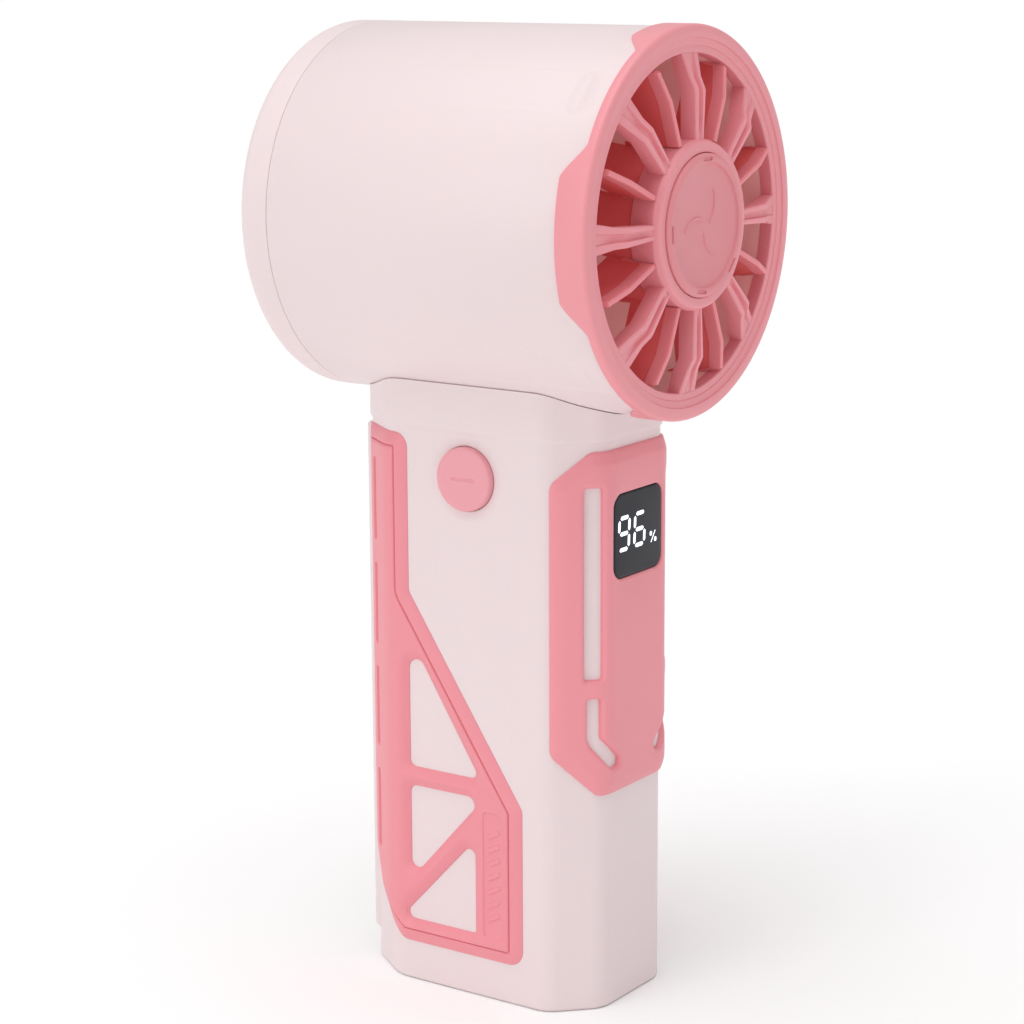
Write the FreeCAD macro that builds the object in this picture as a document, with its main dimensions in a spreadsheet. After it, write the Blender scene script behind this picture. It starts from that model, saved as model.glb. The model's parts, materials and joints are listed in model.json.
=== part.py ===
"""Handheld turbo fan: a barrel head on an eight-sided handle that stands on its base.

Frame: +Z up, origin in the middle of the base. The grille faces -Y, the minus button is on -X.
Pieces of the head are drawn in a head frame of their own, whose Z axis is the fan's axis and
points out of the grille, with X to the right and Y up.
"""
import FreeCAD
import Part
import Sketcher
import math
import os
import re
from FreeCAD import Placement, Rotation, Vector

DIMENSIONS = [
    # head
    ("head_height", 137.65, "fan axis above the base"),
    ("barrel_radius", 32.35, "outside of the barrel"),
    ("barrel_wall", 2.0, "barrel wall"),
    ("head_half_depth", 37.3, "axis origin to the badge, and to the rear face"),
    ("barrel_front", 32.5, "front end of the barrel"),
    ("barrel_back", 30.2, "parting line with the rear cover, behind the origin"),
    ("bezel_proud", 0.45, "bezel standing out of the barrel"),
    ("bezel_front", 34.5, "crest of the bezel"),
    ("bezel_step", 33.65, "flat inside the crest"),
    ("bezel_step_radius", 29.8, "outer edge of that flat"),
    ("mouth_radius", 28.1, "air outlet"),
    ("mouth_depth", 2.25, "wall of the outlet"),
    ("tab_reach", 28.7, "rear edge of the bezel's four tabs"),
    ("tab_tip_half", 10.1, "half width of a tab at its tip"),
    ("tab_root_half", 15.2, "half width of a tab at its root"),
    ("liner_wall", 2.0, "duct liner wall"),
    ("liner_back", 24.0, "rear end of the liner, behind the origin"),
    ("rear_round", 4.5, "rounding of the rear cover"),
    ("intake_radius", 25.5, "air inlet"),
    ("intake_hub", 6.5, "plain disc in the middle of the intake"),
    ("intake_ring", 16.0, "ring that ties the bars, at its middle"),
    ("intake_bars", 16, "inlet bars"),
    ("intake_bar", 1.3, "width of an inlet bar"),
    ("intake_thick", 2.2, "depth of the inlet bars"),
    # hub of the grille
    ("hub_radius", 14.2, "hub cap"),
    ("hub_rim_radius", 13.4, "front rim of the hub cap"),
    ("hub_front", 36.5, "front of that rim"),
    ("hub_back", 31.1, "rear end of the hub cap"),
    ("badge_pocket_radius", 12.36, "pocket for the badge"),
    ("badge_seat", 35.9, "floor of that pocket"),
    ("badge_radius", 11.9, "badge"),
    ("badge_dish_radius", 10.18, "dish in the badge"),
    ("badge_dish_depth", 0.5, "depth of the dish"),
    # spokes
    ("spoke_count", 8, "wide spokes, and as many thin ones between them"),
    ("spoke_root", 2.6, "width of a wide spoke at the hub"),
    ("spoke_tip", 4.4, "width of a wide spoke at the bezel"),
    ("spoke_crest", 35.85, "front of the spokes over the inner half"),
    ("spoke_bend_radius", 22.3, "where the spokes fall back to the bezel"),
    ("spoke_foot", 33.75, "front of the spokes at the bezel"),
    ("spoke_depth", 2.6, "depth of a spoke"),
    # stator and motor
    ("sleeve_radius", 13.7, "motor sleeve"),
    ("sleeve_wall", 1.2, "its wall"),
    ("sleeve_front", 31.0, "front of the sleeve"),
    ("sleeve_back", 8.0, "rear of the sleeve"),
    ("vane_thick", 1.0, "stator vane"),
    ("vane_front", 35.45, "front edge of the stator vanes"),
    ("vane_tip", 27.4, "where that edge ends, short of the bezel"),
    ("vane_length", 21.0, "stator vane along the axis"),
    ("vane_lean", 4.5, "sideways lean of a vane over its length"),
    ("web_thick", 2.0, "front wall of the sleeve"),
    ("shaft_radius", 1.5, "motor shaft"),
    ("bearing_radius", 3.0, "outside of a bearing"),
    ("bearing_length", 2.5, "width of a bearing"),
    ("bearing_tube_radius", 3.9, "bearing tube"),
    ("flange_radius", 9.5, "motor flange"),
    ("flange_thick", 1.6, "motor flange"),
    ("tube_back", 12.0, "rear end of the bearing tube"),
    ("core_radius", 9.0, "stator core"),
    ("core_front", 24.5, "front of the core"),
    ("core_back", 15.5, "rear of the core"),
    ("tooth_count", 9, "core teeth"),
    ("tooth_width", 1.3, "core tooth"),
    ("magnet_inner", 9.35, "inside of the magnet ring"),
    ("bell_inner", 10.6, "inside of the rotor bell"),
    ("bell_radius", 11.5, "outside of the rotor bell"),
    ("bell_front", 26.0, "open end of the bell"),
    ("bell_back", 10.0, "closed end of the bell"),
    ("motor_screw_circle", 6.5, "screws of the motor flange"),
    ("lead_exit", 28.2, "where the motor leads leave the sleeve, in front of the origin"),
    ("wire_drop", 16.5, "where they leave the head"),
    # impeller
    ("impeller_hub", 13.6, "hub of the impeller"),
    ("impeller_radius", 27.4, "tips of its blades"),
    ("impeller_front", 7.0, "front edge of the hub"),
    ("impeller_back", -9.0, "nose of the hub"),
    ("blade_count", 9, "blades"),
    ("blade_thick", 1.1, "blade"),
    # handle
    ("half_width", 16.6, "side faces"),
    ("front_depth", 23.2, "front face"),
    ("back_depth", 25.6, "back face"),
    ("front_chamfer", 7.4, "front corners"),
    ("back_chamfer_x", 6.4, "rear corners, across"),
    ("back_chamfer_y", 9.2, "rear corners, along"),
    ("handle_wall", 1.8, "shell wall"),
    ("corner_round", 3.0, "rounding of the upright edges"),
    ("rear_side_round", 8.0, "rounding of the rear side edges"),
    ("base_round", 0.7, "rounding of the base edge"),
    ("seam_gap", 0.35, "gap between the handle and the barrel"),
    ("collar_proud", 0.4, "collar under the barrel"),
    ("collar_foot", 101.5, "lower end of the collar"),
    ("spigot_foot", 101.4, "lower end of the barrel's spigot"),
    ("spigot_gap", 0.45, "spigot to shell"),
    ("spigot_wall", 1.6, "spigot wall"),
    ("cap_thick", 2.4, "base cap"),
    # raised trims, front panel and spine
    ("skin", 1.1, "height of the trims and the panel over the shell"),
    ("trim_border_drop", 0.3, "border of a trim under its face"),
    ("trim_border", 2.45, "width of that border"),
    ("trim_top", 100.4, "top of the trims and the spine"),
    ("trim_bottom", 7.4, "bottom of the trims"),
    ("trim_band", 12.85, "front edge of a trim's upper band"),
    ("trim_kink", 72.3, "where the front edge turns down and forward"),
    ("trim_toe", -11.1, "front edge of a trim's foot"),
    ("trim_toe_top", 36.2, "top of the foot"),
    ("panel_top", 99.7, "top of the front panel"),
    ("panel_bottom", 39.2, "bottom of the front panel"),
    ("panel_back", -16.2, "side edges of the front panel"),
    ("slot_foot", 22.8, "lowest of the four slots on the rear bevel"),
    ("slot_pitch", 19.05, "spacing of those slots"),
    ("slot_long", 15.0, "length of one of them"),
    ("spine_half", 10.2, "spine"),
    ("spine_proud", 1.4, "spine over the back face"),
    ("spine_bottom", 5.2, "bottom of the spine"),
    # controls and display
    ("digit_left", -6.25, "foot of the first digit's left bars"),
    ("digit_pitch", 4.95, "from one digit to the next"),
    ("digit_wide", 3.15, "digit, between the middles of its bars"),
    ("digit_tall", 5.5, "digit, between the middles of its bars"),
    ("digit_bar", 0.6, "bar of a digit"),
    ("digit_foot", 82.1, "lowest bars above the base"),
    ("button_height", 93.65, "buttons above the base"),
    ("button_back", 0.4, "buttons behind the origin"),
    ("button_radius", 5.6, "button"),
    ("button_gap", 0.15, "button to its hole"),
    ("button_proud", 0.9, "button over the side face"),
    ("lens_half", 7.55, "display lens, half width"),
    ("lens_bottom", 77.15, "display lens"),
    ("lens_top", 91.9, "display lens"),
    ("lens_thick", 0.8, "display lens"),
    ("lens_round", 2.2, "corners of the lens"),
    ("lens_sunk", 0.2, "lens under the panel"),
    ("board_face", 2.2, "front face of the main board"),
    ("board_thick", 1.6, "main board"),
    ("board_foot", 79.0, "foot of the main board"),
    ("board_top", 103.5, "top of the main board"),
    # battery
    ("cell_radius", 9.2, "18650 cell"),
    ("cell_length", 65.0, "18650 cell"),
    ("cell_foot", 11.0, "bottom of the cells"),
    ("cell_spacing", 18.9, "between the cells' axes"),
]

doc = FreeCAD.newDocument("handheld_fan")
sheet = doc.addObject("Spreadsheet::Sheet", "Sheet")
for row, (alias, size, note) in enumerate(DIMENSIONS, start=1):
    sheet.set(f"A{row}", note)
    sheet.set(f"B{row}", str(size))
    sheet.setAlias(f"B{row}", alias)
doc.recompute()

SUBPARTS = []
PREFIX = {alias: "Sheet." + alias for alias, size, note in DIMENSIONS}
HEAD = Rotation(Vector(1, 0, 0), 90)
ALL_ROUND = 360
HALF_STEP = 22.5
SCREW_TURNS = (30, 150, 270)
BASE_SCREWS = [(-9.5, -14.5), (9.5, -14.5), (-9.5, 15.0), (9.5, 15.0)]


def value(expression):
    """The number that an expression on the sheet's aliases gives."""
    return float(sheet.evalExpression(str(expression)))


def bind(obj, name, expression):
    """Bind a property of an object to an expression on the sheet's aliases."""
    words = re.sub("[a-z_]+", lambda word: PREFIX.get(word[0], word[0]), str(expression))
    obj.setExpression(name, words)


def subpart(obj, label):
    """Name an object as one piece of the fan."""
    obj.Label = label
    SUBPARTS.append(obj)
    return obj


# ---- PartDesign helpers ----------------------------------------------------------------------

def new_body(name, in_head=False, turn=0.0):
    """A body, in the handle's frame or in the head's, turned about the fan's axis."""
    body = doc.addObject("PartDesign::Body", name)
    if in_head:
        body.Placement = Placement(Vector(0, 0, 0), HEAD * Rotation(Vector(0, 0, 1), turn))
        bind(body, "Placement.Base.z", "head_height")
    return body


def origin(body, role):
    return next(item for item in body.Origin.OriginFeatures if item.Role == role)


def sketch_on(body, plane, lift=0):
    """An empty sketch on one of the body's origin planes, lifted along the plane's normal."""
    sketch = body.newObject("Sketcher::SketchObject", body.Name + "_sketch")
    sketch.AttachmentSupport = [(origin(body, plane), "")]
    sketch.MapMode = "FlatFace"
    bind(sketch, "AttachmentOffset.Base.z", lift)
    return sketch


def pin_point(sketch, index, place, across, up):
    """Bind a point of the sketch to two expressions."""
    for kind, expression in (("DistanceX", across), ("DistanceY", up)):
        number = sketch.addConstraint(Sketcher.Constraint(kind, -1, 1, index, place, value(expression)))
        bind(sketch, f"Constraints[{number}]", expression)


def polygon(sketch, points):
    """A closed outline through points given as pairs of expressions."""
    first = sketch.GeometryCount
    corners = [Vector(value(x), value(y), 0) for x, y in points]
    for i, corner in enumerate(corners):
        sketch.addGeometry(Part.LineSegment(corner, corners[(i + 1) % len(corners)]), False)
    for i in range(len(points)):
        following = first + (i + 1) % len(points)
        sketch.addConstraint(Sketcher.Constraint("Coincident", first + i, 2, following, 1))
    for i, (x, y) in enumerate(points):
        pin_point(sketch, first + i, 1, x, y)


def circle(sketch, radius, across=0, up=0):
    middle = Vector(value(across), value(up), 0)
    number = sketch.addGeometry(Part.Circle(middle, Vector(0, 0, 1), value(radius)))
    pin_point(sketch, number, 3, across, up)
    bound = sketch.addConstraint(Sketcher.Constraint("Radius", number, value(radius)))
    bind(sketch, f"Constraints[{bound}]", radius)


def rectangle(sketch, left, low, right, high):
    polygon(sketch, [(left, low), (right, low), (right, high), (left, high)])


def feature(body, kind, sketch, length=None, back=False, through=False, midplane=False):
    """A Pad or Pocket of a sketch."""
    made = body.newObject("PartDesign::" + kind, body.Name + "_" + kind.lower())
    made.Profile = sketch
    if through:
        made.Type = 1
    else:
        bind(made, "Length", length)
    made.Midplane = midplane
    made.Reversed = back
    doc.recompute()
    return made


def turned(body, points, kind="Revolution"):
    """A profile of (radius, height) points, turned about the body's Z axis."""
    sketch = sketch_on(body, "XZ_Plane")
    polygon(sketch, points)
    made = body.newObject("PartDesign::" + kind, body.Name + "_turned")
    made.Profile = sketch
    made.ReferenceAxis = (origin(body, "Z_Axis"), [""])
    made.Angle = ALL_ROUND
    doc.recompute()
    return made


def around(body, features, count):
    """Repeat features about the body's Z axis."""
    made = body.newObject("PartDesign::PolarPattern", body.Name + "_pattern")
    made.Originals = features
    made.Axis = (origin(body, "Z_Axis"), [""])
    made.Angle = ALL_ROUND
    bind(made, "Occurrences", count)
    body.Tip = made
    doc.recompute()
    return made


def fillet(body, test, radius, kind="Fillet"):
    """Round or chamfer the edges of the body's tip that pass a test on their two ends and length."""
    doc.recompute()
    tip = body.Tip
    edges = [f"Edge{i}" for i, edge in enumerate(tip.Shape.Edges, start=1) if test(edge)]
    made = body.newObject("PartDesign::" + kind, body.Name + "_" + kind.lower())
    made.Base = (tip, edges)
    bind(made, "Radius" if kind == "Fillet" else "Size", radius)
    body.Tip = made
    doc.recompute()
    return made


def upright_at(x, y, slack=0.05):
    """Picks upright edges at a place, on either side."""
    def test(edge):
        box = edge.BoundBox
        thin = box.XLength < slack and box.YLength < slack and box.ZLength > 1
        return thin and abs(abs(box.XMin) - value(x)) < slack and abs(box.YMin - value(y)) < slack
    return test


# ---- Part helpers ----------------------------------------------------------------------------

def turn_to(direction):
    return Rotation(Vector(0, 0, 1), direction)


def cylinder(name, radius, length, x=0, y=0, z=0, direction=Vector(0, 0, 1)):
    made = doc.addObject("Part::Cylinder", name)
    made.Placement = Placement(Vector(0, 0, 0), turn_to(direction))
    for prop, expression in (("Radius", radius), ("Height", length), ("Placement.Base.x", x),
                             ("Placement.Base.y", y), ("Placement.Base.z", z)):
        bind(made, prop, expression)
    return made


def block(name, x_low, x_high, y_low, y_high, z_low, z_high):
    made = doc.addObject("Part::Box", name)
    for axis, prop, low, high in (("x", "Length", x_low, x_high), ("y", "Width", y_low, y_high),
                                  ("z", "Height", z_low, z_high)):
        bind(made, prop, f"({high}) - ({low})")
        bind(made, "Placement.Base." + axis, low)
    return made


def cut(name, base, *tools):
    tool = tools[0] if len(tools) == 1 else fuse(name + "_tools", *tools)
    made = doc.addObject("Part::Cut", name)
    made.Base = base
    made.Tool = tool
    return made


def fuse(name, *shapes):
    made = doc.addObject("Part::MultiFuse", name)
    made.Shapes = list(shapes)
    return made


def common(name, base, tool):
    made = doc.addObject("Part::Common", name)
    made.Base = base
    made.Tool = tool
    return made


def mirrored(name, source):
    """A copy on the other side of the fan."""
    made = doc.addObject("Part::Mirroring", name)
    made.Source = source
    made.Normal = Vector(1, 0, 0)
    return made


def group(name, *shapes):
    """Separate solids that share one node."""
    made = doc.addObject("Part::Compound", name)
    made.Links = list(shapes)
    return made


def in_head(shape):
    """A shape from the head's frame, in the fan's frame."""
    moved = shape.copy()
    moved.Placement = Placement(Vector(0, 0, value("head_height")), HEAD).multiply(shape.Placement)
    return moved


def own_shape(name, shape):
    made = doc.addObject("Part::Feature", name)
    made.Shape = shape
    return made


# ---- the handle's section --------------------------------------------------------------------

def octagon(inset):
    """Corners of the handle's section, moved inwards, as (x, y) from the front left one."""
    side_lean = f"({inset}) * tan(atan(back_chamfer_x / back_chamfer_y) / 2)"
    back_lean = f"({inset}) * tan(atan(back_chamfer_y / back_chamfer_x) / 2)"
    front_lean = f"({inset}) * tan(22.5 deg)"
    front_x = f"half_width - front_chamfer - {front_lean}"
    front_y = f"-(front_depth - ({inset}))"
    side_x = f"half_width - ({inset})"
    side_front_y = f"-(front_depth - front_chamfer - {front_lean})"
    side_back_y = f"back_depth - back_chamfer_y - {side_lean}"
    back_x = f"half_width - back_chamfer_x - {back_lean}"
    back_y = f"back_depth - ({inset})"
    right = [(front_x, front_y), (side_x, side_front_y), (side_x, side_back_y), (back_x, back_y)]
    left = [(f"-({x})", y) for x, y in reversed(right)]
    return right + left


def prism(name, inset, low, high):
    """An upright prism of the handle's section, with its upright edges rounded."""
    body = new_body(name)
    sketch = sketch_on(body, "XY_Plane", low)
    corners = octagon(inset)
    polygon(sketch, corners)
    feature(body, "Pad", sketch, f"({high}) - ({low})")
    front, side_front, side_back, back = corners[:4]
    fillet(body, upright_at(*side_back), f"rear_side_round - ({inset})")
    for corner in (front, side_front, back):
        fillet(body, upright_at(*corner), f"corner_round - ({inset})")
    return body


# ---- head: casing ----------------------------------------------------------------------------

def head_barrel():
    body = new_body("barrel", in_head=True)
    bore = "barrel_radius - barrel_wall"
    turned(body, [(bore, "-barrel_back"), ("barrel_radius", "-barrel_back"),
                  ("barrel_radius", "barrel_front"), (bore, "barrel_front")])
    spigot = sketch_on(body, "XZ_Plane")
    for inset in ("handle_wall + spigot_gap", "handle_wall + spigot_gap + spigot_wall"):
        polygon(spigot, [(x, f"-({y})") for x, y in octagon(inset)])
    feature(body, "Pad", spigot, "head_height - spigot_foot")
    clear = sketch_on(body, "XY_Plane")
    circle(clear, bore)
    feature(body, "Pocket", clear, through=True, midplane=True)
    wires = sketch_on(body, "XZ_Plane")
    circle(wires, 2.2, 0, "wire_drop")
    feature(body, "Pocket", wires, "barrel_radius + 1", back=True)
    subpart(body, "head_barrel")


def duct_liner():
    body = new_body("liner", in_head=True)
    outside = "barrel_radius - barrel_wall - 0.1"
    turned(body, [(f"{outside} - liner_wall", "-liner_back"), (outside, "-liner_back"),
                  (outside, "bezel_step - mouth_depth - 0.05"),
                  (f"{outside} - liner_wall", "bezel_step - mouth_depth - 0.05")])
    wires = sketch_on(body, "XZ_Plane")
    circle(wires, 2.2, 0, "wire_drop")
    feature(body, "Pocket", wires, "barrel_radius", back=True)
    subpart(body, "duct_liner")


def rear_cover():
    body = new_body("rear", in_head=True)
    spigot = "barrel_radius - barrel_wall - 0.05"
    inside = "barrel_radius - 3.65"
    floor = "-(head_half_depth - intake_thick)"
    turned(body, [(spigot, "-(barrel_back - 3)"), (spigot, "-barrel_back"),
                  ("barrel_radius", "-barrel_back"), ("barrel_radius", "-head_half_depth"),
                  ("intake_radius", "-head_half_depth"),
                  ("intake_radius", floor), (inside, floor), (inside, "-(barrel_back - 3)")])
    fillet(body, ring_edge("barrel_radius", "barrel_radius"), "rear_round")
    subpart(body, "rear_cover")


def intake_grille():
    """Bars and a ring over the air inlet, with a flange that clips behind the rear cover."""
    body = new_body("intake", in_head=True)
    floor = "-(head_half_depth - intake_thick) + 0.05"
    edge = "intake_radius - 0.1"
    bar = sketch_on(body, "XY_Plane", "-head_half_depth")
    rectangle(bar, 0, "-intake_bar / 2", f"{edge} - 0.5", "intake_bar / 2")
    arm = feature(body, "Pad", bar, "intake_thick")
    around(body, [arm], int(value("intake_bars")))
    rear = "-head_half_depth"
    ring_in, ring_out = "intake_ring - intake_bar / 2", "intake_ring + intake_bar / 2"
    turned(body, [(ring_in, rear), (ring_out, rear), (ring_out, floor), (ring_in, floor)])
    turned(body, [(0, rear), ("intake_hub", rear), ("intake_hub", floor), (0, floor)])
    turned(body, [(f"{edge} - intake_bar", rear), (edge, rear), (edge, floor), (f"{edge} + 2.2", floor),
                  (f"{edge} + 2.2", f"{floor} + 1"), (f"{edge} - intake_bar", f"{floor} + 1")])
    subpart(body, "intake_grille")


def ring_edge(radius, farther_than):
    """Picks the full circles of a radius about the head's axis that lie outermost along it."""
    def test(edge):
        round_one = hasattr(edge.Curve, "Radius") and abs(edge.Curve.Radius - value(radius)) < 0.01
        return round_one and abs(edge.Curve.Center.z) > value(farther_than)
    return test


def spoke_front(drop):
    """The front line of a spoke from the hub out, lowered by a drop."""
    return [("hub_radius", f"spoke_crest - ({drop})"), ("spoke_bend_radius", f"spoke_crest - ({drop})"),
            ("spoke_bend_radius + 2", f"spoke_crest - 1.05 - ({drop})"),
            ("mouth_radius", f"spoke_foot - ({drop})")]


def front_grille():
    body = new_body("grille", in_head=True)
    turned(body, [(0, "badge_seat - 1.3"), (12.8, "badge_seat - 1.3"), (12.8, "hub_back"),
                  ("hub_radius - 0.1", "hub_back"), ("hub_radius", "hub_front - 0.8"),
                  ("hub_rim_radius", "hub_front"), ("badge_pocket_radius", "hub_front"),
                  ("badge_pocket_radius", "badge_seat"), (0, "badge_seat")])
    plan = sketch_on(body, "XY_Plane", "spoke_foot - spoke_depth")
    polygon(plan, [("hub_radius - 0.6", "-spoke_root / 2"), ("mouth_radius + 0.6", "-spoke_tip / 2"),
                   ("mouth_radius + 0.6", "spoke_tip / 2"), ("hub_radius - 0.6", "spoke_root / 2")])
    wide = feature(body, "Pad", plan, "spoke_crest - spoke_foot + spoke_depth")
    front = sketch_on(body, "XZ_Plane")
    polygon(front, spoke_front(0)[1:] + [("mouth_radius + 1", "spoke_foot"),
                                         ("mouth_radius + 1", "spoke_crest + 1"),
                                         ("spoke_bend_radius", "spoke_crest + 1")])
    fall = feature(body, "Pocket", front, "spoke_tip * 1.1", midplane=True)
    rear = sketch_on(body, "XZ_Plane")
    polygon(rear, spoke_front("spoke_depth")[:3] + [("mouth_radius + 1", "bezel_step - mouth_depth"),
                                                    ("mouth_radius + 1", "hub_back - 1"),
                                                    ("hub_radius", "hub_back - 1")])
    back = feature(body, "Pocket", rear, "spoke_tip * 1.1", midplane=True)
    groove = sketch_on(body, "XZ_Plane")
    polygon(groove, [("hub_radius + 1.2", "spoke_crest - 0.4"), ("spoke_bend_radius", "spoke_crest - 0.4"),
                     ("spoke_bend_radius + 2", "spoke_crest - 1.45"),
                     ("mouth_radius - 0.8", "spoke_foot - 0.25"),
                     ("mouth_radius - 0.8", "spoke_crest + 1"), ("hub_radius + 1.2", "spoke_crest + 1")])
    line = feature(body, "Pocket", groove, 0.9, midplane=True)
    around(body, [wide, fall, back, line], "spoke_count")
    outside = "barrel_radius + bezel_proud"
    spigot = "barrel_radius - barrel_wall - 0.05"
    rear_edge = "barrel_front + 0.1"
    turned(body, [("mouth_radius", "bezel_step - mouth_depth"), (spigot, "bezel_step - mouth_depth"),
                  (spigot, rear_edge), (outside, rear_edge), (outside, "bezel_front"),
                  ("bezel_step_radius + 0.8", "bezel_front"), ("bezel_step_radius", "bezel_step"),
                  ("mouth_radius", "bezel_step")])
    fillet(body, ring_edge(outside, "barrel_front + 1"), 1.2)
    subpart(fuse("grille_with_tabs", body, bezel_tabs()), "front_grille")


def bezel_tabs():
    """Four tapered tabs that run back from the bezel over the barrel."""
    across = new_body("tab_outlines", in_head=True)
    outline = [("-tab_tip_half", "tab_reach"), ("tab_tip_half", "tab_reach"),
               ("tab_root_half", "barrel_front + 0.2"), ("-tab_root_half", "barrel_front + 0.2")]
    for plane in ("YZ_Plane", "XZ_Plane"):
        sketch = sketch_on(across, plane)
        polygon(sketch, outline)
        feature(across, "Pad", sketch, "barrel_radius * 3", midplane=True)
    forward = Vector(0, -1, 0)
    long = "barrel_front + 0.2 - tab_reach"
    outer = cylinder("tab_outer", "barrel_radius + bezel_proud", long, y="-tab_reach", z="head_height",
                     direction=forward)
    inner = cylinder("tab_inner", "barrel_radius + 0.02", long, y="-tab_reach", z="head_height",
                     direction=forward)
    return common("bezel_tabs", cut("tab_ring", outer, inner), across)


def hub_badge():
    body = new_body("badge", in_head=True)
    dish = "head_half_depth - badge_dish_depth"
    turned(body, [(0, "badge_seat + 0.02"), ("badge_radius", "badge_seat + 0.02"),
                  ("badge_radius", "head_half_depth - 0.2"), ("badge_radius - 0.2", "head_half_depth"),
                  ("badge_dish_radius + 0.2", "head_half_depth"), ("badge_dish_radius", dish), (0, dish)])
    notch = sketch_on(body, "XY_Plane", "head_half_depth")
    rectangle(notch, "badge_dish_radius - 0.3", -0.45, "badge_radius + 0.3", 0.45)
    cut_out = feature(body, "Pocket", notch, "badge_dish_depth * 0.8")
    around(body, [cut_out], 4)
    mark = sketch_on(body, "XY_Plane", dish)
    polygon(mark, [(0.4, -0.9), (5.2, -2.6), (7.9, 0.4), (7.1, 1.1), (4.9, -1.4), (1.2, 0.6)])
    sail = feature(body, "Pad", mark, "badge_dish_depth / 2")
    around(body, [sail], 3)
    subpart(body, "hub_badge")


# ---- head: stator, motor and impeller --------------------------------------------------------

def stator_vanes():
    """Motor sleeve carried by curved vanes that stand behind the thin spokes."""
    body = new_body("stator", in_head=True, turn=HALF_STEP)
    bore = "sleeve_radius - sleeve_wall"
    web = "sleeve_front - web_thick"
    turned(body, [(0, web), (0, "sleeve_front"), ("sleeve_radius", "sleeve_front"),
                  ("sleeve_radius", "sleeve_back"), (bore, "sleeve_back"), (bore, web)])
    section = sketch_on(body, "YZ_Plane")
    stations = [step / 6 for step in range(7)]
    front_side = [(f"vane_thick / 2 - vane_lean * {s * s:.4f}", f"vane_front - vane_length * {s:.4f}")
                  for s in stations]
    back_side = [(f"-vane_thick / 2 - vane_lean * {s * s:.4f}", f"vane_front - vane_length * {s:.4f}")
                 for s in reversed(stations)]
    polygon(section, front_side + back_side)
    vane = feature(body, "Pad", section, "barrel_radius")
    front = sketch_on(body, "XZ_Plane")
    polygon(front, [(0, "sleeve_front"), ("hub_radius + 0.2", "sleeve_front"),
                    ("hub_radius + 0.2", "vane_front"), ("spoke_bend_radius", "vane_front"),
                    ("vane_tip", "vane_front - 1.2"),
                    ("vane_tip + 0.5", "sleeve_front + 0.7"), ("mouth_radius + 0.1", "sleeve_front"),
                    ("barrel_radius + 1", "sleeve_front"), ("barrel_radius + 1", "vane_front + 1"),
                    (0, "vane_front + 1")])
    edge = feature(body, "Pocket", front, "barrel_radius / 2", midplane=True)
    around(body, [vane, edge], "spoke_count")
    tips = sketch_on(body, "XY_Plane")
    circle(tips, "barrel_radius - barrel_wall - liner_wall - 0.15")
    circle(tips, "barrel_radius + 5")
    feature(body, "Pocket", tips, through=True, midplane=True)
    inside = sketch_on(body, "XY_Plane", web)
    circle(inside, bore)
    feature(body, "Pocket", inside, "web_thick + vane_length + 10")
    shaft_hole = sketch_on(body, "XY_Plane")
    circle(shaft_hole, "bearing_radius + 0.3")
    feature(body, "Pocket", shaft_hole, through=True, midplane=True)
    lead_hole = cylinder("lead_hole", 1.6, 9, y="-lead_exit", z="head_height - flange_radius - 8.5")
    subpart(cut("stator_cut", body, lead_hole, *motor_screw_shapes("hole", 1.1)), "stator_vanes")


def motor_screw_shapes(kind, radius):
    """Three shanks through the web into the motor flange."""
    into = Vector(0, 1, 0)
    return [cylinder(f"motor_{kind}_{turn}", radius, "web_thick + flange_thick + 0.2",
                     x=f"motor_screw_circle * cos({turn} deg)", y="-(sleeve_front + 0.1)",
                     z=f"head_height + motor_screw_circle * sin({turn} deg)", direction=into)
            for turn in SCREW_TURNS]


def motor_screws():
    into = Vector(0, 1, 0)
    heads = [cylinder(f"motor_head_{turn}", 1.8, 1.0, x=f"motor_screw_circle * cos({turn} deg)",
                      y="-(sleeve_front + 1)", z=f"head_height + motor_screw_circle * sin({turn} deg)",
                      direction=into) for turn in SCREW_TURNS]
    screws = [fuse(f"motor_screw_{turn}", head, shank)
              for turn, head, shank in zip(SCREW_TURNS, heads, motor_screw_shapes("shank", 0.95))]
    subpart(group("motor_screw_set", *screws), "motor_screws")


def motor_base():
    body = new_body("base_flange", in_head=True)
    flange = "sleeve_front - web_thick"
    flange_back = "sleeve_front - web_thick - flange_thick"
    narrow = "bearing_radius - 0.6"
    turned(body, [("bearing_radius", flange), ("flange_radius", flange), ("flange_radius", flange_back),
                  ("bearing_tube_radius", flange_back), ("bearing_tube_radius", "tube_back"),
                  ("bearing_radius", "tube_back"), ("bearing_radius", "tube_back + bearing_length"),
                  (narrow, "tube_back + bearing_length"), (narrow, f"{flange} - bearing_length"),
                  ("bearing_radius", f"{flange} - bearing_length")])
    subpart(cut("motor_base_cut", body, *motor_screw_shapes("tap", 1.0)), "motor_base")


def bearing(label, back):
    """A small ball bearing with sunk shields."""
    body = new_body(label + "_ring", in_head=True)
    inner, outer = "shaft_radius + 0.02", "bearing_radius - 0.02"
    front = f"{back} + bearing_length"
    shield_in, shield_out = "shaft_radius + 0.45", "bearing_radius - 0.45"
    turned(body, [(inner, back), (shield_in, back), (shield_in, f"{back} + 0.15"),
                  (shield_out, f"{back} + 0.15"), (shield_out, back), (outer, back), (outer, front),
                  (shield_out, front), (shield_out, f"{front} - 0.15"), (shield_in, f"{front} - 0.15"),
                  (shield_in, front), (inner, front)])
    subpart(body, label)


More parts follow.
